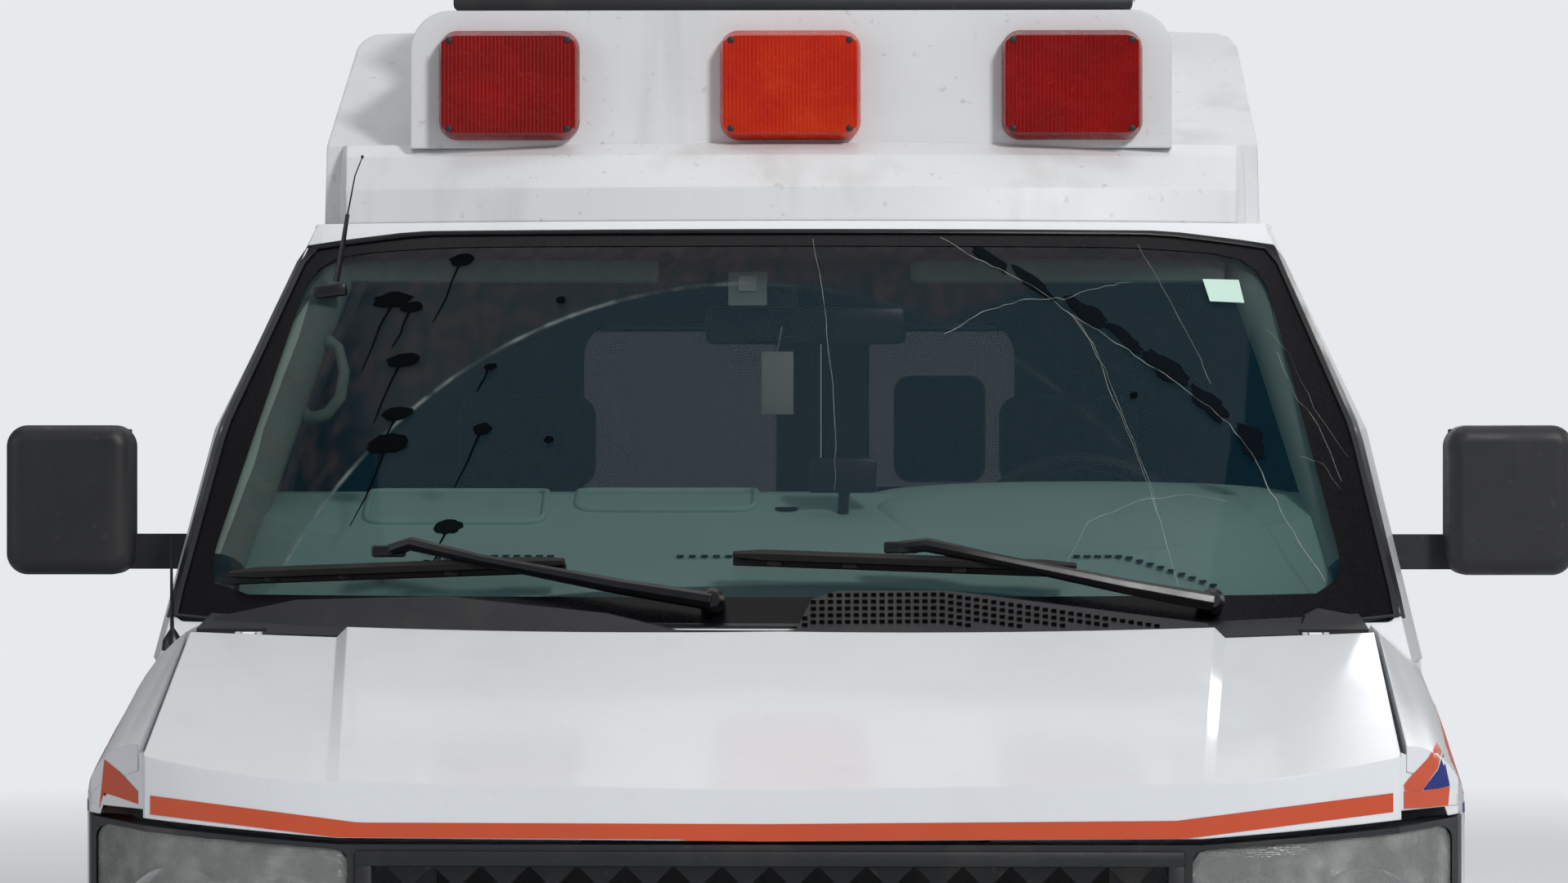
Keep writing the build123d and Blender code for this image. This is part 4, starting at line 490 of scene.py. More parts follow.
def grid(rows, columns, place, thick):
    """Two skins of a sheet, a thickness apart, from a function of two shares from 0 to 1."""
    form = Form()
    for u, v in ((0, 0), (1, 0), (0, 1), (1, 1), (0.5, 0.5)):
        if place(u, v, thick) is None:
            raise ValueError(f"no surface at {u} {v}")
    sheets = []
    for lift in (thick, 0.0):
        points = [[place(u / columns, v / rows, lift) for u in range(columns + 1)] for v in range(rows + 1)]
        sheets.append([[form.mesh.verts.new(point) for point in row] for row in points])
    front, back = sheets
    for v in range(rows):
        for u in range(columns):
            form.mesh.faces.new((front[v][u], front[v][u + 1], front[v + 1][u + 1], front[v + 1][u]))
            form.mesh.faces.new((back[v + 1][u], back[v + 1][u + 1], back[v][u + 1], back[v][u]))
    rim = [(0, u) for u in range(columns)] + [(v, columns) for v in range(rows)]
    rim += [(rows, u) for u in range(columns, 0, -1)] + [(v, 0) for v in range(rows, 0, -1)]
    for (v0, u0), (v1, u1) in zip(rim, rim[1:] + rim[:1]):
        form.mesh.faces.new((front[v0][u0], back[v0][u0], back[v1][u1], front[v1][u1]))
    return form


def lerp(first, second, share):
    """Value between two values, tuples or points."""
    if isinstance(first, (int, float)):
        return first + (second - first) * share
    return tuple(a + (b - a) * share for a, b in zip(first, second))


def along(pairs, share):
    """Point at a share of the length of a polyline."""
    lengths = [math.dist(a, b) for a, b in zip(pairs, pairs[1:])]
    run = share * sum(lengths)
    for (first, second), length in zip(zip(pairs, pairs[1:]), lengths):
        if run <= length or (first, second) == (pairs[-2], pairs[-1]):
            return lerp(first, second, min(1.0, run / length))
        run -= length


def rounded(corners, radius, steps=6):
    """Closed outline of plane points with its corners rounded."""
    points = []
    count = len(corners)
    for index, corner in enumerate(corners):
        corner = Vector(corner)
        before, after = Vector(corners[index - 1]), Vector(corners[(index + 1) % count])
        reach = min(radius, 0.45 * (corner - before).length, 0.45 * (after - corner).length)
        start = corner + (before - corner).normalized() * reach
        end = corner + (after - corner).normalized() * reach
        for step in range(steps + 1):
            t = step / steps
            points.append(start * (1 - t) ** 2 + corner * 2 * t * (1 - t) + end * t * t)
    return [tuple(point) for point in points]


def polar(outline, centre, angle):
    """Where a ray from a centre crosses a closed outline."""
    direction = (math.cos(angle), math.sin(angle))
    best = None
    for (x0, y0), (x1, y1) in zip(outline, outline[1:] + outline[:1]):
        ax, ay = x0 - centre[0], y0 - centre[1]
        bx, by = x1 - x0, y1 - y0
        cross = direction[0] * by - direction[1] * bx
        if abs(cross) < 1e-12:
            continue
        reach = (ax * by - ay * bx) / cross
        share = (ax * direction[1] - ay * direction[0]) / cross
        if reach > 0 and -1e-6 <= share <= 1 + 1e-6 and (best is None or reach > best):
            best = reach
    return (centre[0] + direction[0] * best, centre[1] + direction[1] * best)


def ring_strip(inner, outer, centre, count, rows, place, thick):
    """Closed band between two outlines, laid on a surface by a function of a plane point."""
    layers = []
    for lift in (thick, 0.0):
        rings = []
        for row in range(rows + 1):
            ring = []
            for step in range(count):
                angle = 2 * math.pi * step / count
                flat = lerp(polar(inner, centre, angle), polar(outer, centre, angle), row / rows)
                ring.append(place(*flat, lift))
            rings.append(ring)
        layers.append(rings)
    return Form().loops(layers[0] + list(reversed(layers[1])) + [layers[0][0]], caps=False)


# Camera, lights, floor and world
def make_camera():
    data = bpy.data.cameras.new("photo_camera")
    data.sensor_fit = "HORIZONTAL"
    data.sensor_width = 36.0
    data.lens = FOCAL * data.sensor_width / PHOTO_W
    data.clip_end = 500
    camera = added("photo_camera", data)
    camera.location = EYE
    camera.rotation_euler = (math.pi / 2, 0, YAW)
    bpy.context.scene.camera = camera


BACKDROP = (0.80, 0.82, 0.84, 1.0)
# Strength with which the backdrop lights the vehicle; the camera sees it at full strength
WORLD_LIGHT = 0.30


def make_world():
    world = bpy.data.worlds.new("studio")
    world.use_nodes = True
    nodes, links = world.node_tree.nodes, world.node_tree.links
    background = nodes["Background"]
    background.inputs["Color"].default_value = BACKDROP
    path = nodes.new("ShaderNodeLightPath")
    strength = nodes.new("ShaderNodeMapRange")
    strength.inputs["To Min"].default_value = WORLD_LIGHT
    strength.inputs["To Max"].default_value = 1.0
    links.new(path.outputs["Is Camera Ray"], strength.inputs["Value"])
    links.new(strength.outputs["Result"], background.inputs["Strength"])
    bpy.context.scene.world = world


# The floor's half width, and the distances between which it fades into the backdrop
FLOOR_HALF, FADE_START, FADE_END = 150.0, 6.0, 16.0


def make_floor():
    made = Nodes("studio_floor")
    broad = made.span(made.noise(0.6), 0.3, 0.7)
    made.color(made.mix(broad, (0.62, 0.64, 0.66, 1), (0.68, 0.70, 0.72, 1)))
    made.rough(made.span(made.noise(4.0), 0.3, 0.7, 0.5, 0.65))
    glow = made.add("ShaderNodeEmission", Color=BACKDROP)
    mixer = made.add("ShaderNodeMixShader")
    length = made.add("ShaderNodeVectorMath", operation="LENGTH")
    made.join(made.place, length.inputs[0])
    far = made.span(length.outputs["Value"], FADE_START, FADE_END)
    path = made.add("ShaderNodeLightPath")
    made.join(made.times(far, path.outputs["Is Camera Ray"]), mixer.inputs["Fac"])
    made.join(made.shader.outputs[0], mixer.inputs[1])
    made.join(glow.outputs[0], mixer.inputs[2])
    made.join(mixer.outputs[0], made.tree.nodes["Material Output"].inputs["Surface"])
    data = bpy.data.meshes.new("floor")
    half = FLOOR_HALF
    corners = [(-half, -half, 0), (half, -half, 0), (half, half, 0), (-half, half, 0)]
    data.from_pydata(corners, [], [(0, 1, 2, 3)])
    data.materials.append(made.material)
    floor = added("floor", data)


LAMPS = (
    # name, place, width, height, watts
    ("key", (4.6, -9.0, 7.4), 1.5, 1.5, 620),
    ("fill", (-8.0, -6.0, 4.0), 6.0, 5.0, 120),
    ("top", (0.0, 0.5, 8.0), 7.0, 8.0, 150),
    ("rear", (3.0, 10.0, 5.5), 5.0, 4.0, 300),
    ("side", (9.0, 1.5, 4.5), 6.0, 4.0, 160),
)
LIT_POINT = Vector((0, 0, 1.2))


def make_lights():
    for name, place, width, height, watts in LAMPS:
        data = bpy.data.lights.new(name, "AREA")
        data.shape = "RECTANGLE"
        data.size, data.size_y = width, height
        data.energy = watts
        lamp = added(name, data)
        lamp.location = place
        lamp.rotation_euler = (LIT_POINT - Vector(place)).to_track_quat("-Z", "Y").to_euler()


# Windscreen: black border behind the glass, rubber bead round it, cracks with painted shade beside them, and
# dried dirt
SCREEN = ("windscreen",)
SCREEN_EDGE = ("windscreen", "cab_frame")
CLEAR_GLASS_PX = ((386, 315), (540, 303), (1385, 303), (1540, 315), (1650, 727), (245, 727))
GLASS_EDGE = ((0.946, 1.302), (0.893, 1.600), (0.783, 1.893), (0.600, 1.914))
GLASS_CORNERS = GLASS_EDGE + tuple((-x, z) for x, z in reversed(GLASS_EDGE))
GLASS_MIDDLE = (0.0, 1.58)


def plain_view(px, py):
    """Width and height on the glass of a pixel of the photograph."""
    point = seen(SCREEN, px, py)
    return (point.x, point.z)


def make_screen_edge():
    outer = rounded(GLASS_CORNERS, 0.018)
    shrunk = [lerp(GLASS_MIDDLE, point, 0.997) for point in outer]
    inner = rounded([plain_view(*corner) for corner in CLEAR_GLASS_PX], 0.07, 8)

    def on_glass(x, z, lift):
        for scale in (1.0, 0.998, 0.994, 0.988, 0.98):
            point = ahead(SCREEN, *lerp(GLASS_MIDDLE, (x, z), scale), 0.0008 + lift)
            if point is not None:
                return point

    border = ring_strip(inner, shrunk, GLASS_MIDDLE, 180, 5, on_glass, 0.0006)
    border.make("glass_border", FRIT, "cowl_plastic")
    near, far = ([lerp(GLASS_MIDDLE, point, scale) for point in outer] for scale in (0.993, 1.012))

    def bead(x, z, lift):
        return ahead(SCREEN_EDGE, x, z, 0.0005 + lift) or Vector((x, at(1.2), z))

    ring_strip(near, far, GLASS_MIDDLE, 180, 2, bead, 0.004).make("screen_bead", GLOSS_BLACK, "cowl_plastic")


CRACKS_PX = (
    # width in metres, points of the crack
    (0.0028, ((1150, 292), (1196, 318), (1232, 334), (1290, 370), (1318, 392), (1342, 404), (1370, 424),
              (1404, 446), (1440, 470), (1470, 492), (1504, 520), (1532, 556), (1552, 600), (1580, 650),
              (1620, 712))),
    (0.0020, ((1155, 408), (1192, 388), (1228, 372), (1264, 366), (1300, 366), (1342, 352), (1380, 346))),
    (0.0018, ((1306, 380), (1336, 420), (1362, 490), (1392, 560), (1418, 640), (1442, 722))),
    (0.0014, ((1312, 384), (1350, 452), (1380, 524), (1404, 590), (1424, 660))),
    (0.0014, ((995, 292), (1008, 372), (1016, 450), (1022, 530), (1020, 600))),
    (0.0014, ((1390, 300), (1420, 350), (1462, 430), (1480, 470))),
    (0.0014, ((1560, 430), (1580, 480), (1612, 520), (1640, 590))),
    (0.0012, ((1548, 402), (1576, 432), (1606, 500), (1648, 560))),
    (0.0012, ((1590, 560), (1616, 566), (1640, 600))),
    (0.0012, ((1300, 700), (1330, 640), (1390, 612), (1450, 606), (1500, 614))),
)
CRACK_SHADES_PX = (
    # dark leaf-shaped patches of painted shade beside the main crack: middle, half length, half width, turn in
    # degrees
    ((1212, 318), 26, 7, 35), ((1262, 346), 30, 8, 36), ((1330, 384), 30, 10, 34), ((1376, 414), 24, 7, 40),
    ((1424, 450), 34, 12, 38), ((1478, 494), 28, 12, 42), ((1530, 540), 24, 14, 62),
)
SPLATS_PX = (
    # middle, half width, half height, length of the run below it
    ((566, 318), 16, 7, 70), ((480, 367), 24, 9, 78), ((504, 376), 14, 6, 44), ((492, 441), 20, 8, 70),
    ((486, 506), 19, 8, 50), ((474, 543), 26, 11, 90), ((590, 525), 12, 7, 66), ((600, 449), 8, 4, 26),
    ((671, 538), 6, 4, 0), ((686, 367), 6, 4, 0), ((548, 645), 18, 9, 34), ((1386, 484), 5, 4, 0),
)


# Heights over the glass of cracks, spots and runs in metres, and how far a crack's points stray in pixels
CRACK_LIFT, SPOT_LIFTS, RUN_LIFT = 0.0013, (0.0009, 0.0016), 0.0012
JITTER_PX = 1.6


def make_cracks():
    form = Form()
    for width, points in CRACKS_PX:
        dense = []
        for (x0, y0), (x1, y1) in zip(points, points[1:]):
            for step in range(4):
                x, y = lerp((x0, y0), (x1, y1), step / 4)
                dense.append((x + RNG.uniform(-JITTER_PX, JITTER_PX), y + RNG.uniform(-JITTER_PX, JITTER_PX)))
        found = [seen(SCREEN, *pixel, CRACK_LIFT) for pixel in dense + [points[-1]]]
        found = [point for point in found if point is not None]
        radii = [width * RNG.uniform(0.12, 0.3) for _ in found]
        form.tube(found, radii, 4)
    form.make("glass_cracks", CRACK, "screen_glass")


def spot(form, middle, half_w, half_h, turn, ragged):
    """Thin irregular spot on the glass."""
    ring = []
    for step in range(20):
        angle = 2 * math.pi * step / 20
        reach = 1 + RNG.uniform(-ragged, ragged)
        dx, dy = half_w * math.cos(angle) * reach, half_h * math.sin(angle) * reach
        px = middle[0] + dx * math.cos(turn) - dy * math.sin(turn)
        py = middle[1] + dx * math.sin(turn) + dy * math.cos(turn)
        ring.append((px, py))
    rows = [[seen(SCREEN, *pixel, lift) for pixel in ring] for lift in SPOT_LIFTS]
    if all(point is not None for row in rows for point in row):
        form.loops(rows)


# Runs below the splats: their start beside the middle, slant, and how far their points stray
RUN_SHIFT_PX, RUN_SLANT, RUN_STRAY_PX = 4, 0.45, 2


def make_stains():
    crack_shades, stains = Form(), Form()
    # Dark leaf-shaped patches of painted shade along the main crack
    for middle, half_length, half_width, turn in CRACK_SHADES_PX:
        spot(crack_shades, middle, half_length, half_width, math.radians(turn), 0.25)
    for middle, half_w, half_h, run in SPLATS_PX:
        spot(stains, middle, half_w, half_h, -0.15, 0.12)
        if run:
            x0, y0 = middle[0] - RUN_SHIFT_PX, middle[1] + half_h
            points = [(x0 - run * RUN_SLANT * t, y0 + run * t) for t in (0, 0.3, 0.6, 1.0)]
            found = [seen(SCREEN, x + RNG.uniform(-RUN_STRAY_PX, RUN_STRAY_PX), y, RUN_LIFT) for x, y in points]
            if all(point is not None for point in found):
                stains.tube(found, [0.0022, 0.0016, 0.0014, 0.0008], 5)
    crack_shades.make("glass_crack_shades", CRACK_SHADE, "screen_glass")
    stains.make("glass_stains", STAIN, "screen_glass")


# Warning lamps of 9 by 7 inches on the pod: ribbed lens with round corners, and screws
ROOF_LAMP_W, ROOF_LAMP_H = 0.2286, 0.1778
ROOF_LAMP_CORNER = 0.34  # as a share of half the height
RIBS, RIB_STEPS, RIB_DEPTH = 36, 216, 0.0006
SCREW = ((-0.01, 0.0055), (0.001, 0.0055), (0.002, 0.003))


def make_roof_lamps():
    low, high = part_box("roof_lamps")
    proud, middle_z = high.y - low.y, (low.z + high.z) / 2
    centres = (low.x + ROOF_LAMP_W / 2, 0.0, high.x - ROOF_LAMP_W / 2)
    corner, notch = ROOF_LAMP_CORNER, ROOF_LAMP_CORNER * ROOF_LAMP_H / ROOF_LAMP_W
    for name, x, finish, others in (
        ("left", centres[2], RED_LENS, ()),
        ("middle", centres[1], AMBER_LENS, ("roof_lamps",)),
        ("right", centres[0], RED_LENS, ()),
    ):
        def place(u, v, lift):
            across, up = 2 * u - 1, 2 * v - 1
            over = max(0.0, abs(across) - (1 - notch)) / notch
            up_limit = 1 - corner + corner * math.sqrt(max(0.0, 1 - over * over))
            edge = min(1.0, (1 - abs(across)) / 0.07, (1 - abs(up)) / 0.09)
            dome = 1 - (1 - max(0.0, edge)) ** 2
            ribbed = abs(across) < 0.93 and abs(up) < 0.9
            rib = RIB_DEPTH * math.cos(2 * math.pi * RIBS * u) if ribbed else 0.0
            depth = proud * (0.35 + 0.62 * dome) + rib
            y = high.y - (depth if lift else 0.0)
            return Vector((x + across * ROOF_LAMP_W / 2, y, middle_z + up * up_limit * ROOF_LAMP_H / 2))

        grid(18, RIB_STEPS, place, 1.0).make(f"roof_lamp_{name}", finish, "red_lens", replaces=others)
    screws = Form()
    out, up = ROOF_LAMP_W / 2 - 0.018, ROOF_LAMP_H / 2 - 0.017
    for x in centres:
        for dx in (-out, out):
            for dz in (-up, up):
                screws.lathe((x + dx, low.y + 0.0015, middle_z + dz), (0, -1, 0), SCREW, 12)
    screws.make("roof_lamp_screws", BLACK_PLASTIC, "cowl_plastic")


# Stripes: thin films laid on the panels
def film_strip(name, finish, names, caster, lower, upper, columns):
    """Film between two lines on a surface; the caster turns a plane point into a point."""
    def place(u, v, lift):
        for inset in (0.0, 0.1, 0.25, 0.5, 0.75, 0.9):
            share = lerp(v, 0.5, inset) if inset < 0.6 else inset
            flat = lerp(along(lower, u), along(upper, u), share)
            point = caster(names, *flat, 0.0004 + lift)
            if point is not None:
                return point
        raise ValueError(f"{name} leaves its panel at {flat}")

    grid(3, columns, place, 0.0005).make(name, finish, "white_paint", body_of(names[-1]))


HOOD_STRIPE_LOW_PX = ((184, 996), (436, 1027), (940, 1030), (1440, 1027), (1703, 993))
HOOD_STRIPE_HIGH_PX = ((184, 973), (438, 1006), (940, 1008), (1438, 1004), (1703, 970))
FENDER_ORANGE = (
    ((0.42, 1.082), (0.55, 1.090), (0.90, 1.104), (1.346, 1.108)),
    ((0.42, 1.130), (0.55, 1.150), (0.90, 1.182), (1.346, 1.188)),
)
FENDER_BLUE = (
    ((0.42, 1.056), (0.55, 1.056), (0.90, 1.060), (1.346, 1.062)),
    ((0.42, 1.070), (0.55, 1.080), (0.90, 1.100), (1.346, 1.104)),
)
# Front corner of a fender: its plan line, with the height of its top edge
CORNER_PLAN = ((0.867, 0.2200, 1.152), (0.900, 0.2652, 1.138), (0.935, 0.3130, 1.113),
               (0.958, 0.3450, 1.086))
CORNER_LOW = 1.0715
CORNER_FILMS = (
    # side of the vehicle, finish, lower and upper edge as pixels of the photograph
    ("left", ORANGE, ((1716, 989), (1740, 988), (1770, 985)), ((1716, 968), (1738, 967), (1772, 962))),
    ("left", ORANGE, ((1717, 967), (1738, 967), (1757, 940), (1762, 919)),
     ((1716, 960), (1723, 951), (1746, 927), (1756, 908))),
    ("left", BLUE, ((1740, 966), (1756, 965), (1772, 961)), ((1740, 965), (1758, 941), (1764, 922))),
    ("right", ORANGE, ((169, 991), (145, 990), (122, 988)), ((169, 968), (148, 945), (128, 929))),
)
# Bands along the sides and the rear: finish, lower and upper edge, name
BANDS = ((ORANGE, (1.108, 1.188), "orange"), (BLUE, (1.062, 1.104), "blue"))
SIDE_PANELS = (
    # node, side, front station, rear station
    ("front_door_left", 1, 1.362, 2.408),
    ("front_door_right", -1, 1.362, 2.408),
    ("body_side_left", 1, 2.420, 5.538),
    ("body_side_right", -1, 2.420, 2.524),
    ("side_door_front", -1, 2.540, 3.288),
    ("side_door_rear", -1, 3.300, 3.820),
    ("body_side_right", -1, 3.836, 5.538),
)


def make_stripes():
    film_strip("hood_stripe", ORANGE, ("hood_panel",), seen, HOOD_STRIPE_LOW_PX, HOOD_STRIPE_HIGH_PX, 120)
    for side, word in SIDES:
        fender = ("front_fenders",)
        film_strip(f"fender_orange_{word}", ORANGE, fender, from_side(side), *FENDER_ORANGE, 48)
        film_strip(f"fender_blue_{word}", BLUE, fender, from_side(side), *FENDER_BLUE, 40)
        plan = [(side * x, station) for x, station, _ in CORNER_PLAN]
        tops = [top for _, _, top in CORNER_PLAN] + [CORNER_PLAN[-1][2]]

        def corner(u, v, lift):
            x, station = along(plan, u)
            part = int(3 * u)
            top = lerp(tops[part], tops[part + 1], 3 * u - part)
            return Vector((x, at(station) + (-0.0008 if lift else 0.003), lerp(CORNER_LOW, top, v)))

        piece = grid(6, 18, corner, 1.0).make(f"fender_corner_{word}", PAINT, "white_paint", smooth=60)
        SURFACES[f"corner_{word}"] = piece
    for index, (word, finish, low, high) in enumerate(CORNER_FILMS):
        names = (f"corner_{word}", "front_fenders")
        film_strip(f"corner_film_{index}", finish, names, seen, low, high, 14)
    for index, (node, side, front, rear) in enumerate(SIDE_PANELS):
        for finish, (low, high), hue in BANDS:
            lines = ((front, low), (rear, low)), ((front, high), (rear, high))
            film_strip(f"{hue}_band_{index}", finish, (node,), from_side(side), *lines, 8)
    for side, word in SIDES:
        inner, outer = side * 0.01, side * 0.80
        for finish, (low, high), hue in BANDS:
            lines = ((inner, low), (outer, low)), ((inner, high), (outer, high))
            film_strip(f"rear_{hue}_{word}", finish, (f"rear_door_{word}",), behind, *lines, 6)


# Wipers, from their places in the photograph
WIPERS_PX = (
    # blade ends, joint, bends of the arm down to its pivot
    ((289, 714), (693, 700), (482, 690), ((511, 686), (593, 704), (760, 735), (872, 752))),
    ((897, 691), (1312, 706), (1100, 686), ((1130, 688), (1215, 704), (1370, 734), (1476, 752))),
)
GLASS_OR_COWL = ("windscreen", "cowl_panel")
# Heights of a blade's parts and of its arm over the glass
SPINE_LIFT, CLIP_LIFT, RUBBER_LIFT = 0.024, 0.014, 0.010
ARM_LIFTS = (0.040, 0.036, 0.032, 0.030)
CLIP_SHARES = (0.12, 0.34, 0.66, 0.88)


def make_wipers():
    arms, blades = Form(), Form()
    for start, end, joint, bends in WIPERS_PX:
        spine, rubber = ([seen(SCREEN, *lerp(start, end, step / 12), lift) for step in range(13)]
                         for lift in (SPINE_LIFT, RUBBER_LIFT))
        blades.tube(spine, [0.005] + [0.0095] * 11 + [0.006], 6)
        blades.tube(rubber, 0.0080, 6)
        for share in CLIP_SHARES:
            clip = seen(SCREEN, *lerp(start, end, share), CLIP_LIFT)
            blades.block(clip, (0.012, 0.009, 0.009), 0.003)
        path = [seen(GLASS_OR_COWL, *joint, 0.030)]
        path += [seen(GLASS_OR_COWL, *bend, lift) for bend, lift in zip(bends, ARM_LIFTS)]
        arms.tube(path, [0.010, 0.011, 0.009, 0.012, 0.014], 8)
        arms.block(path[0], (0.026, 0.010, 0.009), 0.004)
        pivot = ((-0.02, 0.019), (0.012, 0.019), (0.02, 0.012))
        arms.lathe(path[-1] + Vector((0, 0.014, 0)), (0, -1, 0.2), pivot, 20)
    arms.make("wiper_arms", GLOSS_BLACK, "cowl_plastic", replaces=("wipers",))
    blades.make("wiper_blades", RUBBER, "cowl_plastic")


# Cowl louvres: dark blocks of painted shade where the slots open
LOUVRE_LEFT, LOUVRE_RIGHT, LOUVRE_PITCH, LOUVRE_ROW = 984, 1445, 10.5, 8.2
LOUVRE_TOP_PX = ((984, 742), (1002, 722), (1150, 721), (1445, 764))
LOUVRE_LOW, LOUVRE_INSET = 766, 6


def make_louvres():
    form = Form()
    px = LOUVRE_LEFT
    while px < LOUVRE_RIGHT:
        pairs = list(zip(LOUVRE_TOP_PX, LOUVRE_TOP_PX[1:]))
        top = next(y0 + (y1 - y0) * (px - x0) / (x1 - x0) for (x0, y0), (x1, y1) in pairs if px <= x1)
        py = top + LOUVRE_INSET
        while py < LOUVRE_LOW:
            point = seen(("cowl_panel",), px, py, 0.0005)
            if point is not None:
                form.block(point, (0.0038, 0.003, 0.0026))
            py += LOUVRE_ROW
        px += LOUVRE_PITCH
    form.make("cowl_louvres", HOLE, "cowl_plastic")


# Grille surround and headlamps
def make_grille():
    form = Form()
    front, rear = at(0.129), at(0.156)
    outer_x, inner_x, low, high = 0.567, 0.543, 0.752, 1.021
    form.box((-outer_x, front, high - 0.022), (outer_x, rear, high), 0.004)
    form.box((-outer_x, front, low), (outer_x, rear, low + 0.022), 0.004)
    for side in (-1, 1):
        form.box((side * inner_x, front, low + 0.02), (side * outer_x, rear, high - 0.02), 0.004)
    form.make("grille_surround", BLACK_PLASTIC, "grille_plastic")


LAMP_IN, LAMP_OUT, LAMP_LOW, LAMP_ROUND = 0.577, 0.9465, 0.8005, 0.018
LAMP_TOP = ((0.576, 1.0215), (0.948, 1.0465))
LAMP_NODE = ("headlamps",)
LAMP_WINDOWS = ((0.600, 0.741), (0.755, 0.884))
LAMP_RIB = 0.0030
BOWLS = ((0.670, 0.064), (0.822, 0.072))


def lamp_point(side, u, v, depth):
    """Point of the lamp's front, whose corners are round, at a depth behind it."""
    x = lerp(LAMP_IN, LAMP_OUT, u)
    (x0, z0), (x1, z1) = LAMP_TOP
    inward = min(x - LAMP_IN, LAMP_OUT - x, LAMP_ROUND)
    cut = LAMP_ROUND - math.sqrt(max(0.0, LAMP_ROUND ** 2 - (LAMP_ROUND - inward) ** 2))
    z = lerp(LAMP_LOW + cut, z0 + (z1 - z0) * (x - x0) / (x1 - x0) - cut, v)
    front = ahead(LAMP_NODE, side * x, 0.92)
    return Vector((side * x, front.y + depth, z))


def make_headlamps():
    for side, word in SIDES:
        def lens(u, v, lift):
            point = lamp_point(side, u, v, 0.0)
            clear = any(low < abs(point.x) < high for low, high in LAMP_WINDOWS) and 0.05 < v < 0.93
            rib = 0.0 if clear else 0.0007 * math.cos(2 * math.pi * point.z / LAMP_RIB)
            return point + Vector((0, 0.0015 + rib if lift else 0.006, 0))

        def back(u, v, lift):
            return lamp_point(side, u, v, 0.052 if lift else 0.056)

        grid(320, 40, lens, 1.0).make(f"lamp_lens_{word}", LENS_CLEAR, "lamp_lens", "vehicle", 60, LAMP_NODE)
        housing = grid(4, 12, back, 1.0)
        for x, radius in BOWLS:
            centre = ahead(LAMP_NODE, side * x, 0.918) + Vector((0, 0.046, 0))
            profile = [(0.0, radius * 0.35), (0.006, radius * 0.5), (0.018, radius * 0.8), (0.032, radius)]
            profile += [(0.034, radius + 0.004), (0.0, radius + 0.006)]
            housing.lathe(centre, (0, -1, 0), profile, 40)
            housing.lathe(centre, (0, -1, 0), ((0.0, 0.014), (0.018, 0.012), (0.022, 0.004)), 16)
        housing.make(f"lamp_bowls_{word}", REFLECTOR, "lamp_lens")


# Aerials: one stuck on the glass, one on the right fender at an X and a station
AERIAL_FOOT = (-0.936, 1.08)
AERIAL_BASE_PX = (405, 358)
AERIAL_PX = (
    # point along the stuck one, and its distance ahead of the foot in metres
    ((411, 344), 0.012), ((419, 300), 0.016), ((425, 262), 0.012), ((434, 215), 0.0), ((443, 192), 0.0),
)


def make_aerials():
    form = Form()
    base = seen(SCREEN, *AERIAL_BASE_PX, 0.004)
    form.block(base, (0.026, 0.012, 0.010), 0.004, Matrix.Rotation(-0.12, 4, "Y"))
    points = [at_depth(*pixel, base.y - proud) for pixel, proud in AERIAL_PX]
    form.tube(points[:3], [0.0052, 0.004, 0.0034], 8)
    form.tube(points[2:], [0.0016, 0.0012, 0.001], 6)
    form.lathe(points[-1], (0, 0, 1), ((-0.003, 0.001), (0, 0.0028), (0.003, 0.001)), 8)
    foot = down(("front_fenders",), *AERIAL_FOOT)
    form.lathe(foot, (0, 0, 1), ((-0.01, 0.017), (0.006, 0.015), (0.020, 0.006), (0.024, 0.003)), 20)
    whip = [foot, foot + Vector((-0.001, 0, 0.04)), foot + Vector((-0.002, 0, 0.165))]
    form.tube(whip, [0.0036, 0.003, 0.0016], 8)
    form.make("aerials", GLOSS_BLACK, "cowl_plastic")


# Things behind the glass, as pixels of the photograph
def px_box(form, left, top, right, bottom, y, thick, bevel):
    """Box that fills a rectangle of the photograph at a depth."""
    low, high = at_depth(left, bottom, y), at_depth(right, top, y)
    form.box((low.x, y, low.z), (high.x, y + thick, high.z), bevel)


# Trim along the inside of a windscreen pillar: widths and heights on the glass
PILLAR_LINE = ((0.880, 1.380), (0.845, 1.520), (0.790, 1.720), (0.738, 1.866))


CAB_PIECES = (
    # name, finish, slot, boxes as pixels with station, thickness and bevel, and a rod with its radius and sides
    ("sun_visors", TRIM, "dash_plastic", (
        (384, 316, 806, 346, 1.62, 0.022, 0.010), (1112, 316, 1498, 346, 1.62, 0.022, 0.010)), None),
    ("inside_mirror", GLOSS_BLACK, "mirror_plastic", (
        (862, 374, 1108, 421, 1.60, 0.030, 0.012), (938, 352, 974, 380, 1.585, 0.03, 0.006),
        (988, 560, 1072, 603, 1.30, 0.02, 0.006)), ((1032, 604, 1.31), (1030, 640, 1.33), 0.009, 10)),
    ("inside_mirror_glass", MIRROR, "mirror_plastic", ((872, 380, 1098, 415, 1.632, 0.004, 0.001),), None),
    ("toll_device", CLOUDED, "dash_plastic", ((890, 332, 938, 374, 1.56, 0.012, 0.003),), None),
    ("toll_label", PLATE, "dash_plastic", ((903, 337, 925, 356, 1.554, 0.005, 0.001),), None),
    ("hanging_card", CARD, "dash_plastic", ((931, 430, 970, 507, 1.575, 0.003, 0.001),),
     ((950, 430, 1.576), (956, 400, 1.60), 0.001, 6)),
)
STICKER_PX = ((1470, 342), (1514, 343), (1521, 371), (1479, 369))
GRAB_HANDLE_PX = ((352, 462), (362, 498), (378, 512), (400, 506), (416, 486), (421, 455), (414, 425),
                  (402, 418))


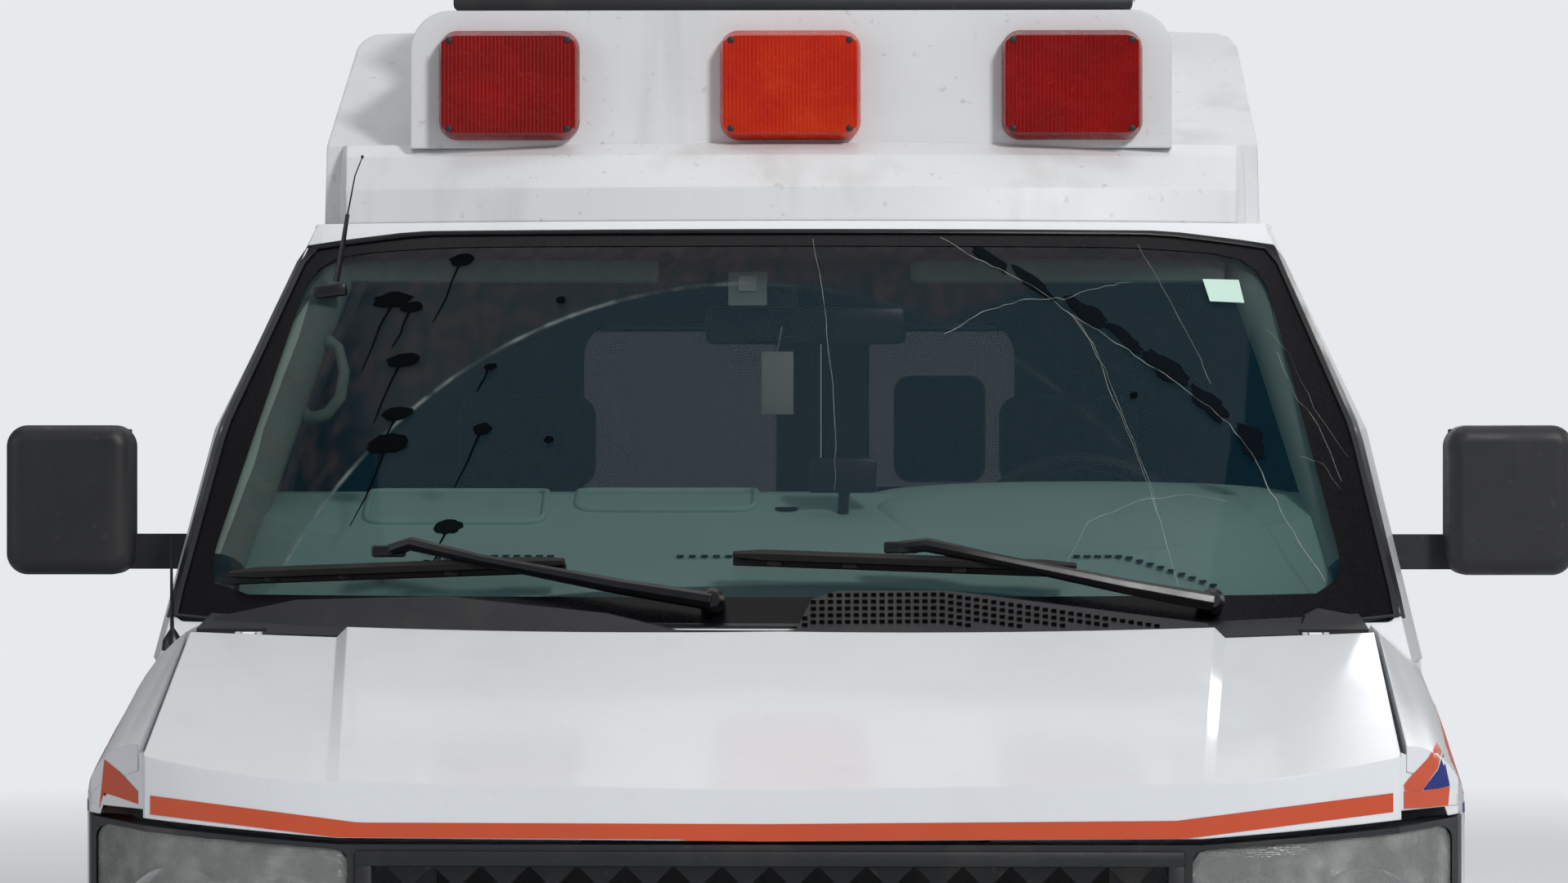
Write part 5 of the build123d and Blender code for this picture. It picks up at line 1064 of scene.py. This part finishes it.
def make_cab_details():
    for name, finish, slot, boxes, rod in CAB_PIECES:
        form = Form()
        for *pixels, station, thick, bevel in boxes:
            px_box(form, *pixels, at(station), thick, bevel)
        if rod:
            *ends, radius, sides = rod
            form.tube([at_depth(px, py, at(station)) for px, py, station in ends], radius, sides)
        form.make(name, finish, slot)
    sticker = Form()
    sticker.loops([[seen(SCREEN, *corner, lift) for corner in STICKER_PX] for lift in (0.0009, 0.0015)])
    sticker.make("plain_sticker", STICKER, "cowl_plastic")
    handle = Form()
    depths = [at(1.50) + 0.012 * abs(index - 3.5) for index in range(len(GRAB_HANDLE_PX))]
    points = [at_depth(*pixel, depth) for pixel, depth in zip(GRAB_HANDLE_PX, depths)]
    handle.tube(points, [0.016, 0.014, 0.011, 0.010, 0.0095, 0.009, 0.008, 0.012], 14)
    for side in (-1, 1):
        points = [ahead(SCREEN, side * x, z) + Vector((0, 0.062, 0)) for x, z in PILLAR_LINE]
        handle.tube(points, [0.040, 0.042, 0.040, 0.034], 16)
    handle.make("pillar_trim", TRIM, "dash_plastic")


DASH_NODE = ("dashboard",)
# Hump over the instruments: its lowest height, and station, half width and rise of each row
DASH_LOW = 1.30
DASH_HUMP = ((1.18, 0.20, 0.003), (1.24, 0.28, 0.014), (1.34, 0.33, 0.026), (1.47, 0.34, 0.028))


def make_dash_details():
    # Dark blocks on the dash top: painted shade in the openings of its slots and ring
    dark = Form()
    for left, right, count in ((-0.62, -0.36, 16), (-0.16, 0.12, 16), (0.45, 0.66, 14)):
        for index in range(count):
            x = lerp(left, right, index / (count - 1))
            point = down(DASH_NODE, x, 1.150, 0.001)
            if point is not None:
                dark.box(point - Vector((0.005, 0.012, 0.002)), point + Vector((0.005, 0.012, 0.001)))
    ring = down(DASH_NODE, 0.0, 1.34, 0.001)
    dark.lathe(ring, (0, 0, 1), ((-0.004, 0.018), (0.001, 0.018), (0.0015, 0.012)), 24)
    dark.make("dash_slots", HOLE, "dash_plastic")
    forms = Form()
    for left, right, front, rear in ((-0.66, -0.38, 1.28, 1.42), (-0.33, -0.05, 1.33, 1.44)):
        outline = rounded([(left, front), (right, front), (right, rear), (left, rear)], 0.03, 4)
        points = [down(DASH_NODE, x, station, 0.002) for x, station in outline]
        forms.tube(points + [points[0]], 0.006, 8)
    hood = []
    for station, radius_x, rise in DASH_HUMP:
        row = []
        for step in range(21):
            angle = math.pi * step / 20
            x = 0.47 - radius_x * math.cos(angle)
            floor = down(DASH_NODE, x, station, -0.004)
            row.append(floor + Vector((0, 0, rise * math.sin(angle) ** 0.7)))
        hood.append(row)
    under = [[point - Vector((0, 0, 0.006)) for point in row] for row in reversed(hood)]
    rows = hood + under
    for row in rows:
        for point in row:
            point.z = max(point.z, DASH_LOW)
    forms.loops(rows, closed=False)
    forms.make("dash_mouldings", DASH, "dash_plastic")


# Side and rear windows: rubber frames laid over door and glass
SIDE_WINDOWS = (
    # glass, panel, side, stations of the front edge at the bottom and the top, rear station, height
    ("front_door_glass_left", "front_door_left", 1, 1.475, 1.835, 2.335, 1.828),
    ("front_door_glass_right", "front_door_right", -1, 1.475, 1.835, 2.335, 1.828),
    ("side_window_left", "body_side_left", 1, 2.640, 2.640, 3.640, 1.830),
    ("side_door_glass_front", "side_door_front", -1, 2.613, 2.613, 3.215, 1.830),
    ("side_door_glass_rear", "side_door_rear", -1, 3.373, 3.373, 3.747, 1.830),
)
SILL = 1.285
REAR_PANE = ((0.100, SILL), (0.712, SILL), (0.588, 1.842), (0.100, 1.842))


def window_frame(name, body, corners, inside, outside, place):
    """Rubber frame over the edge of a pane, between two scales of its outline."""
    outline = rounded(corners, 0.045, 6)
    middle = tuple(sum(values) / 4 for values in zip(*corners))
    inner, outer = ([lerp(middle, point, scale) for point in outline] for scale in (inside, outside))
    ring_strip(inner, outer, middle, 96, 2, place, 0.003).make(name, RUBBER, "cowl_plastic", body)


def make_window_frames():
    for glass, panel, side, front, front_top, rear, top in SIDE_WINDOWS:
        def on_side(station, z, lift):
            point = beside((panel,), station, z, side, 0.001 + lift)
            if point is None or abs(point.x) < 0.70:
                depth = section_x(z) - 0.001
                point = Vector((side * (depth + 0.002 + lift), at(station), z))
            return point

        corners = ((front, SILL), (front_top, top), (rear, top), (rear, SILL))
        window_frame(f"frame_{glass}", body_of(panel), corners, 0.975, 1.03, on_side)

    def on_rear(x, z, lift):
        return Vector((x, at(REAR_FACE) + 0.001 + lift, z))

    for side, word in SIDES:
        corners = [(side * x, z) for x, z in REAR_PANE]
        window_frame(f"frame_rear_{word}", f"rear_door_{word}", corners, 0.97, 1.035, on_rear)


SECTION = ((1.003, 0.900), (0.998, 1.240), (0.930, 1.600), (0.788, 1.935))


def section_x(z):
    """Half width of the body above its waist."""
    for (x0, z0), (x1, z1) in zip(SECTION, SECTION[1:]):
        if z <= z1:
            return x0 + (x1 - x0) * (z - z0) / (z1 - z0)
    return SECTION[-1][0]


HANDLES = (
    # panel, side, station, height, width
    ("front_door_left", 1, 2.300, 1.205, 0.17),
    ("front_door_right", -1, 2.300, 1.205, 0.17),
    ("side_door_front", -1, 3.190, 1.215, 0.15),
    ("side_door_rear", -1, 3.400, 1.215, 0.15),
)
MOULDING = (0.690, 0.745)
MOULDINGS = (
    # panel, side, front station, rear station
    ("front_door_left", 1, 1.372, 2.400),
    ("front_door_right", -1, 1.372, 2.400),
    ("body_side_left", 1, 2.428, 3.900),
    ("body_side_left", 1, 4.700, 5.500),
    ("side_door_front", -1, 2.552, 3.280),
    ("side_door_rear", -1, 3.306, 3.808),
    ("body_side_right", -1, 4.700, 5.500),
)


# Stations and heights of the fuel door and the side markers
FUEL_DOOR, SIDE_MARKER = (4.98, 1.0), (0.52, 0.92)


def make_side_details():
    for panel, side, station, z, width in HANDLES:
        base = beside((panel,), station, z, side)
        form = Form()
        front = (base.x - side * 0.002, base.y - width / 2, z - 0.016)
        form.box(front, (base.x + side * 0.016, base.y + width / 2, z + 0.016), 0.007, 3)
        lock = base + Vector((0, width / 2 - 0.02, -0.045))
        form.lathe(lock, (side, 0, 0), ((-0.004, 0.012), (0.003, 0.012)), 20)
        form.make(f"handle_{panel}", GLOSS_BLACK, "cowl_plastic", body_of(panel))
    for index, (panel, side, front, rear) in enumerate(MOULDINGS):
        def place(u, v, lift):
            swell = math.sin(math.pi * v) ** 0.5 if 0 < v < 1 else 0.0
            point = beside((panel,), lerp(front, rear, u), lerp(*MOULDING, v), side)
            return point + Vector((side * ((0.002 + 0.008 * swell) if lift else -0.001), 0, 0))

        grid(8, 10, place, 1.0).make(f"moulding_{index}", BLACK_PLASTIC, "cowl_plastic", body_of(panel), 50)
    base = beside(("body_side_left",), *FUEL_DOOR, 1)
    for name, finish, slot, half_y, half_z, proud, bevel in (
        ("fuel_door", PAINT, "white_paint", 0.085, 0.075, 0.003, 0.002),
        ("fuel_door_gap", HOLE, "cowl_plastic", 0.088, 0.078, 0.001, 0.0005),
    ):
        low, high = base - Vector((0.002, half_y, half_z)), base + Vector((proud, half_y, half_z))
        Form().box(low, high, bevel).make(name, finish, slot)
    markers = Form()
    for side in (-1, 1):
        x, y, _ = beside(("front_fenders",), *SIDE_MARKER, side)
        markers.box((x - side * 0.004, y - 0.06, 0.900), (x + side * 0.010, y + 0.06, 0.940), 0.004)
    markers.make("side_markers", AMBER_LENS, "red_lens")


# Station of the rear doors' outer face, and the height of the rear step's treads
REAR_FACE, STEP_TOP = 5.600, 0.5625
# Middle of the tail lamps, and the heights of their lenses
TAIL_X = 0.905
TAIL_LENSES = ((0.812, 0.902), (0.906, 1.014), (1.018, 1.108))
PLATE_W, PLATE_HOLE_X = 0.310, 0.089
BOLT_HEAD = ((-0.001, 0.007), (0.003, 0.006), (0.004, 0.002))


def make_rear_details():
    lamps, bezels = Form(), Form()
    for side in (-1, 1):
        x = side * TAIL_X
        for low, high in TAIL_LENSES:
            lamps.box((x - 0.035, at(5.598), low), (x + 0.035, at(5.609), high), 0.005, 3)
        bezels.box((x - 0.038, at(5.598), 0.810), (x + 0.038, at(5.602), 1.110), 0.001)
    lamps.make("tail_lenses", RED_LENS, "red_lens", replaces=("tail_lamps",))
    bezels.make("tail_bezels", BLACK_PLASTIC, "cowl_plastic")
    handle = Form()
    y = at(REAR_FACE)
    handle.box((0.030, y, 1.020), (0.060, y + 0.022, 1.085), 0.006, 3)
    handle.box((0.034, y + 0.010, 0.900), (0.056, y + 0.030, 1.085), 0.007, 3)
    handle.tube([(0.045, y + 0.012, 0.64), (0.045, y + 0.012, 1.86)], 0.006, 12)
    for z in (0.70, 1.25, 1.82):
        handle.box((0.030, y, z - 0.012), (0.060, y + 0.02, z + 0.012), 0.003)
    handle.make("rear_handle", BRIGHT, "step_metal", "rear_door_left")
    low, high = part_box("rear_door_left")
    gap = low.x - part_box("rear_door_right")[1].x
    seal = Form()
    seal.box((low.x - gap * 0.88, at(5.588), low.z + 0.01), (low.x + 0.001, at(5.598), high.z - 0.03))
    seal.make("rear_door_seal", RUBBER, "cowl_plastic", "rear_door_left")
    bolts = Form()
    for word, out, face, z in (("front", -1, BUMPER_FACE, 0.530), ("rear", 1, at(LENGTH), 0.480)):
        plate, half = Form(), PLATE_W / 2
        plate.box((-half, face - out * 0.001, z - 0.075), (half, face + out * 0.003, z + 0.075), 0.001)
        plate.make(f"{word}_plate", PLATE, "bumper_metal")
        for x in (-PLATE_HOLE_X, PLATE_HOLE_X):
            bolts.lathe((x, face + out * 0.003, z), (0, out, 0), BOLT_HEAD, 12)
    bolts.make("plate_bolts", BRIGHT, "step_metal")
    treads = Form()
    for row in range(4):
        for index in range(46):
            x = lerp(-0.93, 0.93, index / 45)
            station = 5.565 + 0.028 * row + (0.0 if index % 2 else 0.004)
            turn = Matrix.Rotation(0.7 if (index + row) % 2 else -0.7, 4, "Z")
            treads.block(Vector((x, at(station), STEP_TOP)), (0.012, 0.003, 0.0015), turn=turn)
    treads.make("step_treads", GALVANISED, "step_metal")


# Light bar: dark tray and ribbed lenses with round ends
LENS_FOOT, LENS_HALF, LENS_END, LENS_PITCH = 0.041, 0.16, 0.06, 0.008
RIB_IN, RIB_DOWN = 0.0015, 0.001
WHITE_END, RED_START = 0.205, 0.215


def make_light_bar():
    low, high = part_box("light_bar")
    tray = Form()
    base = low.z + LENS_FOOT
    front, rear = low.y + 0.005, high.y - 0.005
    tray.box((low.x + 0.01, front, low.z + 0.014), (high.x - 0.01, rear, low.z + 0.040), 0.010, 3)
    for side in (-1, 1):
        tray.box((side * 0.38, low.y + 0.07, low.z), (side * 0.45, high.y - 0.07, low.z + 0.020), 0.004)
    tray.make("light_bar_tray", BLACK_PLASTIC, "bar_lens", replaces=("light_bar",))
    middle_y = (low.y + high.y) / 2
    for start, end, finish, word in (
        (low.x, -RED_START, RED_LENS, "right"),
        (-WHITE_END, WHITE_END, WHITE_LENS, "middle"),
        (RED_START, high.x, RED_LENS, "left"),
    ):
        rows = []
        count = int((end - start) / LENS_PITCH)
        for step in range(count + 1):
            x = lerp(start, end, step / count)
            near_end = min(1.0, (x - low.x) / LENS_END, (high.x - x) / LENS_END)
            round_in = math.sqrt(max(0.0, 1 - (1 - max(0.0, near_end)) ** 2))
            half = LENS_HALF * (0.35 + 0.65 * round_in) - (RIB_IN if step % 2 else 0.0)
            top = high.z - 0.014 * (1 - round_in) - (RIB_DOWN if step % 2 else 0.0)
            narrow = half * 0.93
            section = rounded(((-half, base), (half, base), (narrow, top), (-narrow, top)), 0.03, 4)
            rows.append([Vector((x, middle_y + y, z)) for y, z in section])
        Form().loops(rows).make(f"light_bar_{word}", finish, "bar_lens", smooth=60)


# Mirrors: glass in the housing's rear face
MIRROR_STATION = 1.495
MIRROR_PANES = ((1.384, 1.440), (1.450, 1.592))


def make_door_mirrors():
    for side, word in SIDES:
        outer = max(abs(corner.x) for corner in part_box(f"mirror_{word}"))
        glass, rim = Form(), Form()
        start, end = side * (outer - 0.184), side * (outer - 0.016)
        face = at(MIRROR_STATION)
        for z0, z1 in MIRROR_PANES:
            glass.box((start, face - 0.002, z0), (end, face + 0.0015, z1), 0.001)
        start, end = side * (outer - 0.192), side * (outer - 0.008)
        rim.box((start, face - 0.004, 1.376), (end, face + 0.0005, 1.600), 0.002)
        glass.make(f"mirror_face_{word}", MIRROR, "mirror_plastic", f"front_door_{word}")
        rim.make(f"mirror_rim_{word}", GLOSS_BLACK, "mirror_plastic", f"front_door_{word}")


# Wheels: treaded tyres and wheel nuts
# Half width and radius along a tyre's side
TYRE_SIDE = ((0.0985, 0.2195), (0.106, 0.226), (0.1225, 0.262), (0.1225, 0.300), (0.1185, 0.335),
             (0.1125, 0.358), (0.098, 0.378))
TREAD_EDGE, TREAD_R, TREAD_STEPS = 0.088, 0.3865, 288
GROOVE, SIPE = 0.0085, 0.005
WHEEL_NUTS, NUT_CIRCLE = 8, 0.083
NUT = ((0.0, 0.013), (0.020, 0.013), (0.024, 0.009))
HUB_CAP = ((0.079, 0.047), (0.088, 0.044), (0.094, 0.030), (0.095, 0.008))


def make_wheels():
    for place in ("front", "rear"):
        for side, word in SIDES:
            low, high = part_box(f"tyre_{place}_{word}")
            centre = (low + high) / 2
            body = f"wheel_{place}_{word}"
            ribs = [-TREAD_EDGE + 2 * TREAD_EDGE * step / 32 for step in range(33)]
            profile = [(-x, r) for x, r in TYRE_SIDE] + [(x, None) for x in ribs]
            profile += [(x, r) for x, r in reversed(TYRE_SIDE)]
            rows = []
            for x, r in profile:
                row = []
                for step in range(TREAD_STEPS):
                    radius = r
                    if r is None:
                        shift = 2 if x > 0 else 0
                        lateral = (step + shift) % 4 == 0 and abs(x) > 0.018
                        around = min(abs(abs(x) - 0.022), abs(abs(x) - 0.058)) < 0.0032
                        crown = 0.0035 * (x / TREAD_EDGE) ** 2
                        radius = TREAD_R - crown - (GROOVE if around else SIPE if lateral else 0.0)
                    angle = 2 * math.pi * step / TREAD_STEPS
                    row.append(centre + Vector((x, radius * math.sin(angle), radius * math.cos(angle))))
                rows.append(row)
            tyre = Form().loops(rows, caps=False)
            tyre.make(f"treaded_tyre_{place}_{word}", TYRE, "tyre_rubber", body, 35, (f"tyre_{place}_{word}",))
            nuts = Form()
            for step in range(WHEEL_NUTS):
                angle = 2 * math.pi * (step + 0.5) / WHEEL_NUTS
                up, back = NUT_CIRCLE * math.cos(angle), NUT_CIRCLE * math.sin(angle)
                nuts.lathe(centre + Vector((side * 0.050, back, up)), (side, 0, 0), NUT, 6)
            nuts.lathe(centre, (side, 0, 0), HUB_CAP, 32)
            nuts.make(f"wheel_nuts_{place}_{word}", BRIGHT, "wheel_rim", body, 30)


# Seats
def cushion(form, low, high, puff, lean=0.0):
    """Box with broad round edges for a padded piece, leaning back."""
    form.box(low, high, puff, 6, Matrix.Rotation(-lean, 4, "X") if lean else None)


SEAT_X, BACK_LEAN, HEADREST_LEAN = 0.470, 0.20, 0.12


def make_seats():
    for side, word in SIDES:
        x = side * SEAT_X
        base, bolsters, panels = Form(), Form(), Form()
        base.box((x - 0.20, at(1.88), 0.700), (x + 0.20, at(2.17), 0.965), 0.012)
        for edge in (-1, 1):
            start, end = x + edge * 0.165, x + edge * 0.238
            cushion(bolsters, (start, at(1.780), 0.985), (end, at(2.200), 1.150), 0.032)
            lean = Matrix.Rotation(-BACK_LEAN, 4, "X")
            bolsters.box((start, at(2.150), 1.100), (end, at(2.270), 1.500), 0.032, 5, lean)
        cushion(panels, (x - 0.175, at(1.785), 0.965), (x + 0.175, at(2.200), 1.125), 0.040)
        cushion(panels, (x - 0.175, at(2.165), 1.080), (x + 0.175, at(2.265), 1.500), 0.040, BACK_LEAN)
        cushion(panels, (x - 0.12, at(2.245), 1.500), (x + 0.12, at(2.325), 1.660), 0.036, HEADREST_LEAN)
        base.make(f"seat_base_{word}", BLACK_PLASTIC, "seat_cloth", replaces=("cab_seats",))
        for piece in (
            bolsters.make(f"seat_bolsters_{word}", CLOTH_DARK, "seat_cloth", smooth=60),
            panels.make(f"seat_panels_{word}", CLOTH, "seat_cloth", smooth=60),
        ):
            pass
    low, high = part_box("bench_cushion")
    pads = Form()
    for index in range(3):
        start = lerp(low.y, high.y, index / 3) + 0.002
        end = lerp(low.y, high.y, (index + 1) / 3) - 0.002
        cushion(pads, (low.x + 0.004, start, low.z), (high.x - 0.002, end, high.z - 0.001), 0.022)
    pads.make("bench_pads", VINYL, "seat_vinyl", "vehicle", 60, ("bench_cushion",))
    seat, stand = Form(), Form()
    stand.box((0.110, at(2.81), 0.700), (0.390, at(3.11), 1.058), 0.012)
    cushion(seat, (0.024, at(2.775), 1.058), (0.476, at(3.196), 1.158), 0.036)
    cushion(seat, (0.024, at(2.704), 1.150), (0.476, at(2.786), 1.498), 0.034)
    cushion(seat, (0.167, at(2.712), 1.506), (0.334, at(2.776), 1.700), 0.030)
    stand.make("attendant_stand", LAMINATE, "cabinet_laminate", replaces=("attendant_seat",))
    seat.make("attendant_pads", VINYL, "seat_vinyl", smooth=60)


# Cabinet doors with their pulls, and the roof's gutters
CABINET_FACE, CABINET_FRONT, CABINET_REAR = 0.560, 2.72, 5.28
GUTTER_X, GUTTER_Z = 0.790, 1.936
GUTTER_STATIONS = (1.86, 3.0, 4.2, 5.56)
DOOR_ROWS = ((0.86, 1.15), (1.535, 1.885))


def make_inside():
    doors, pulls, gutter = Form(), Form(), Form()
    edges = [lerp(CABINET_FRONT, CABINET_REAR, index / 10) for index in range(11)]
    for front, middle, rear in zip(edges[::2], edges[1::2], edges[2::2]):
        start, end, middle = at(front + 0.01), at(rear - 0.01), at(middle)
        for low, high in DOOR_ROWS if front > 3.75 else DOOR_ROWS[:1]:
            doors.box((CABINET_FACE - 0.012, start, low), (CABINET_FACE + 0.002, end, high), 0.004)
        front, back = CABINET_FACE - 0.022, CABINET_FACE - 0.010
        pulls.box((front, middle - 0.05, 1.118), (back, middle + 0.05, 1.130), 0.003)
    doors.make("cabinet_doors", LAMINATE, "cabinet_laminate")
    pulls.make("cabinet_pulls", BRIGHT, "step_metal")
    for side in (-1, 1):
        points = [Vector((side * GUTTER_X, at(station), GUTTER_Z)) for station in GUTTER_STATIONS]
        gutter.tube(points, 0.006, 8)
    gutter.make("roof_gutters", PAINT, "white_paint")


make_camera()
make_world()
make_floor()
make_lights()
make_screen_edge()
make_cracks()
make_stains()
make_roof_lamps()
make_stripes()
make_wipers()
make_louvres()
make_grille()
make_headlamps()
make_aerials()
make_cab_details()
make_dash_details()
make_window_frames()
make_side_details()
make_rear_details()
make_light_bar()
make_door_mirrors()
make_wheels()
make_seats()
make_inside()

bpy.context.scene.view_settings.view_transform = "Standard"
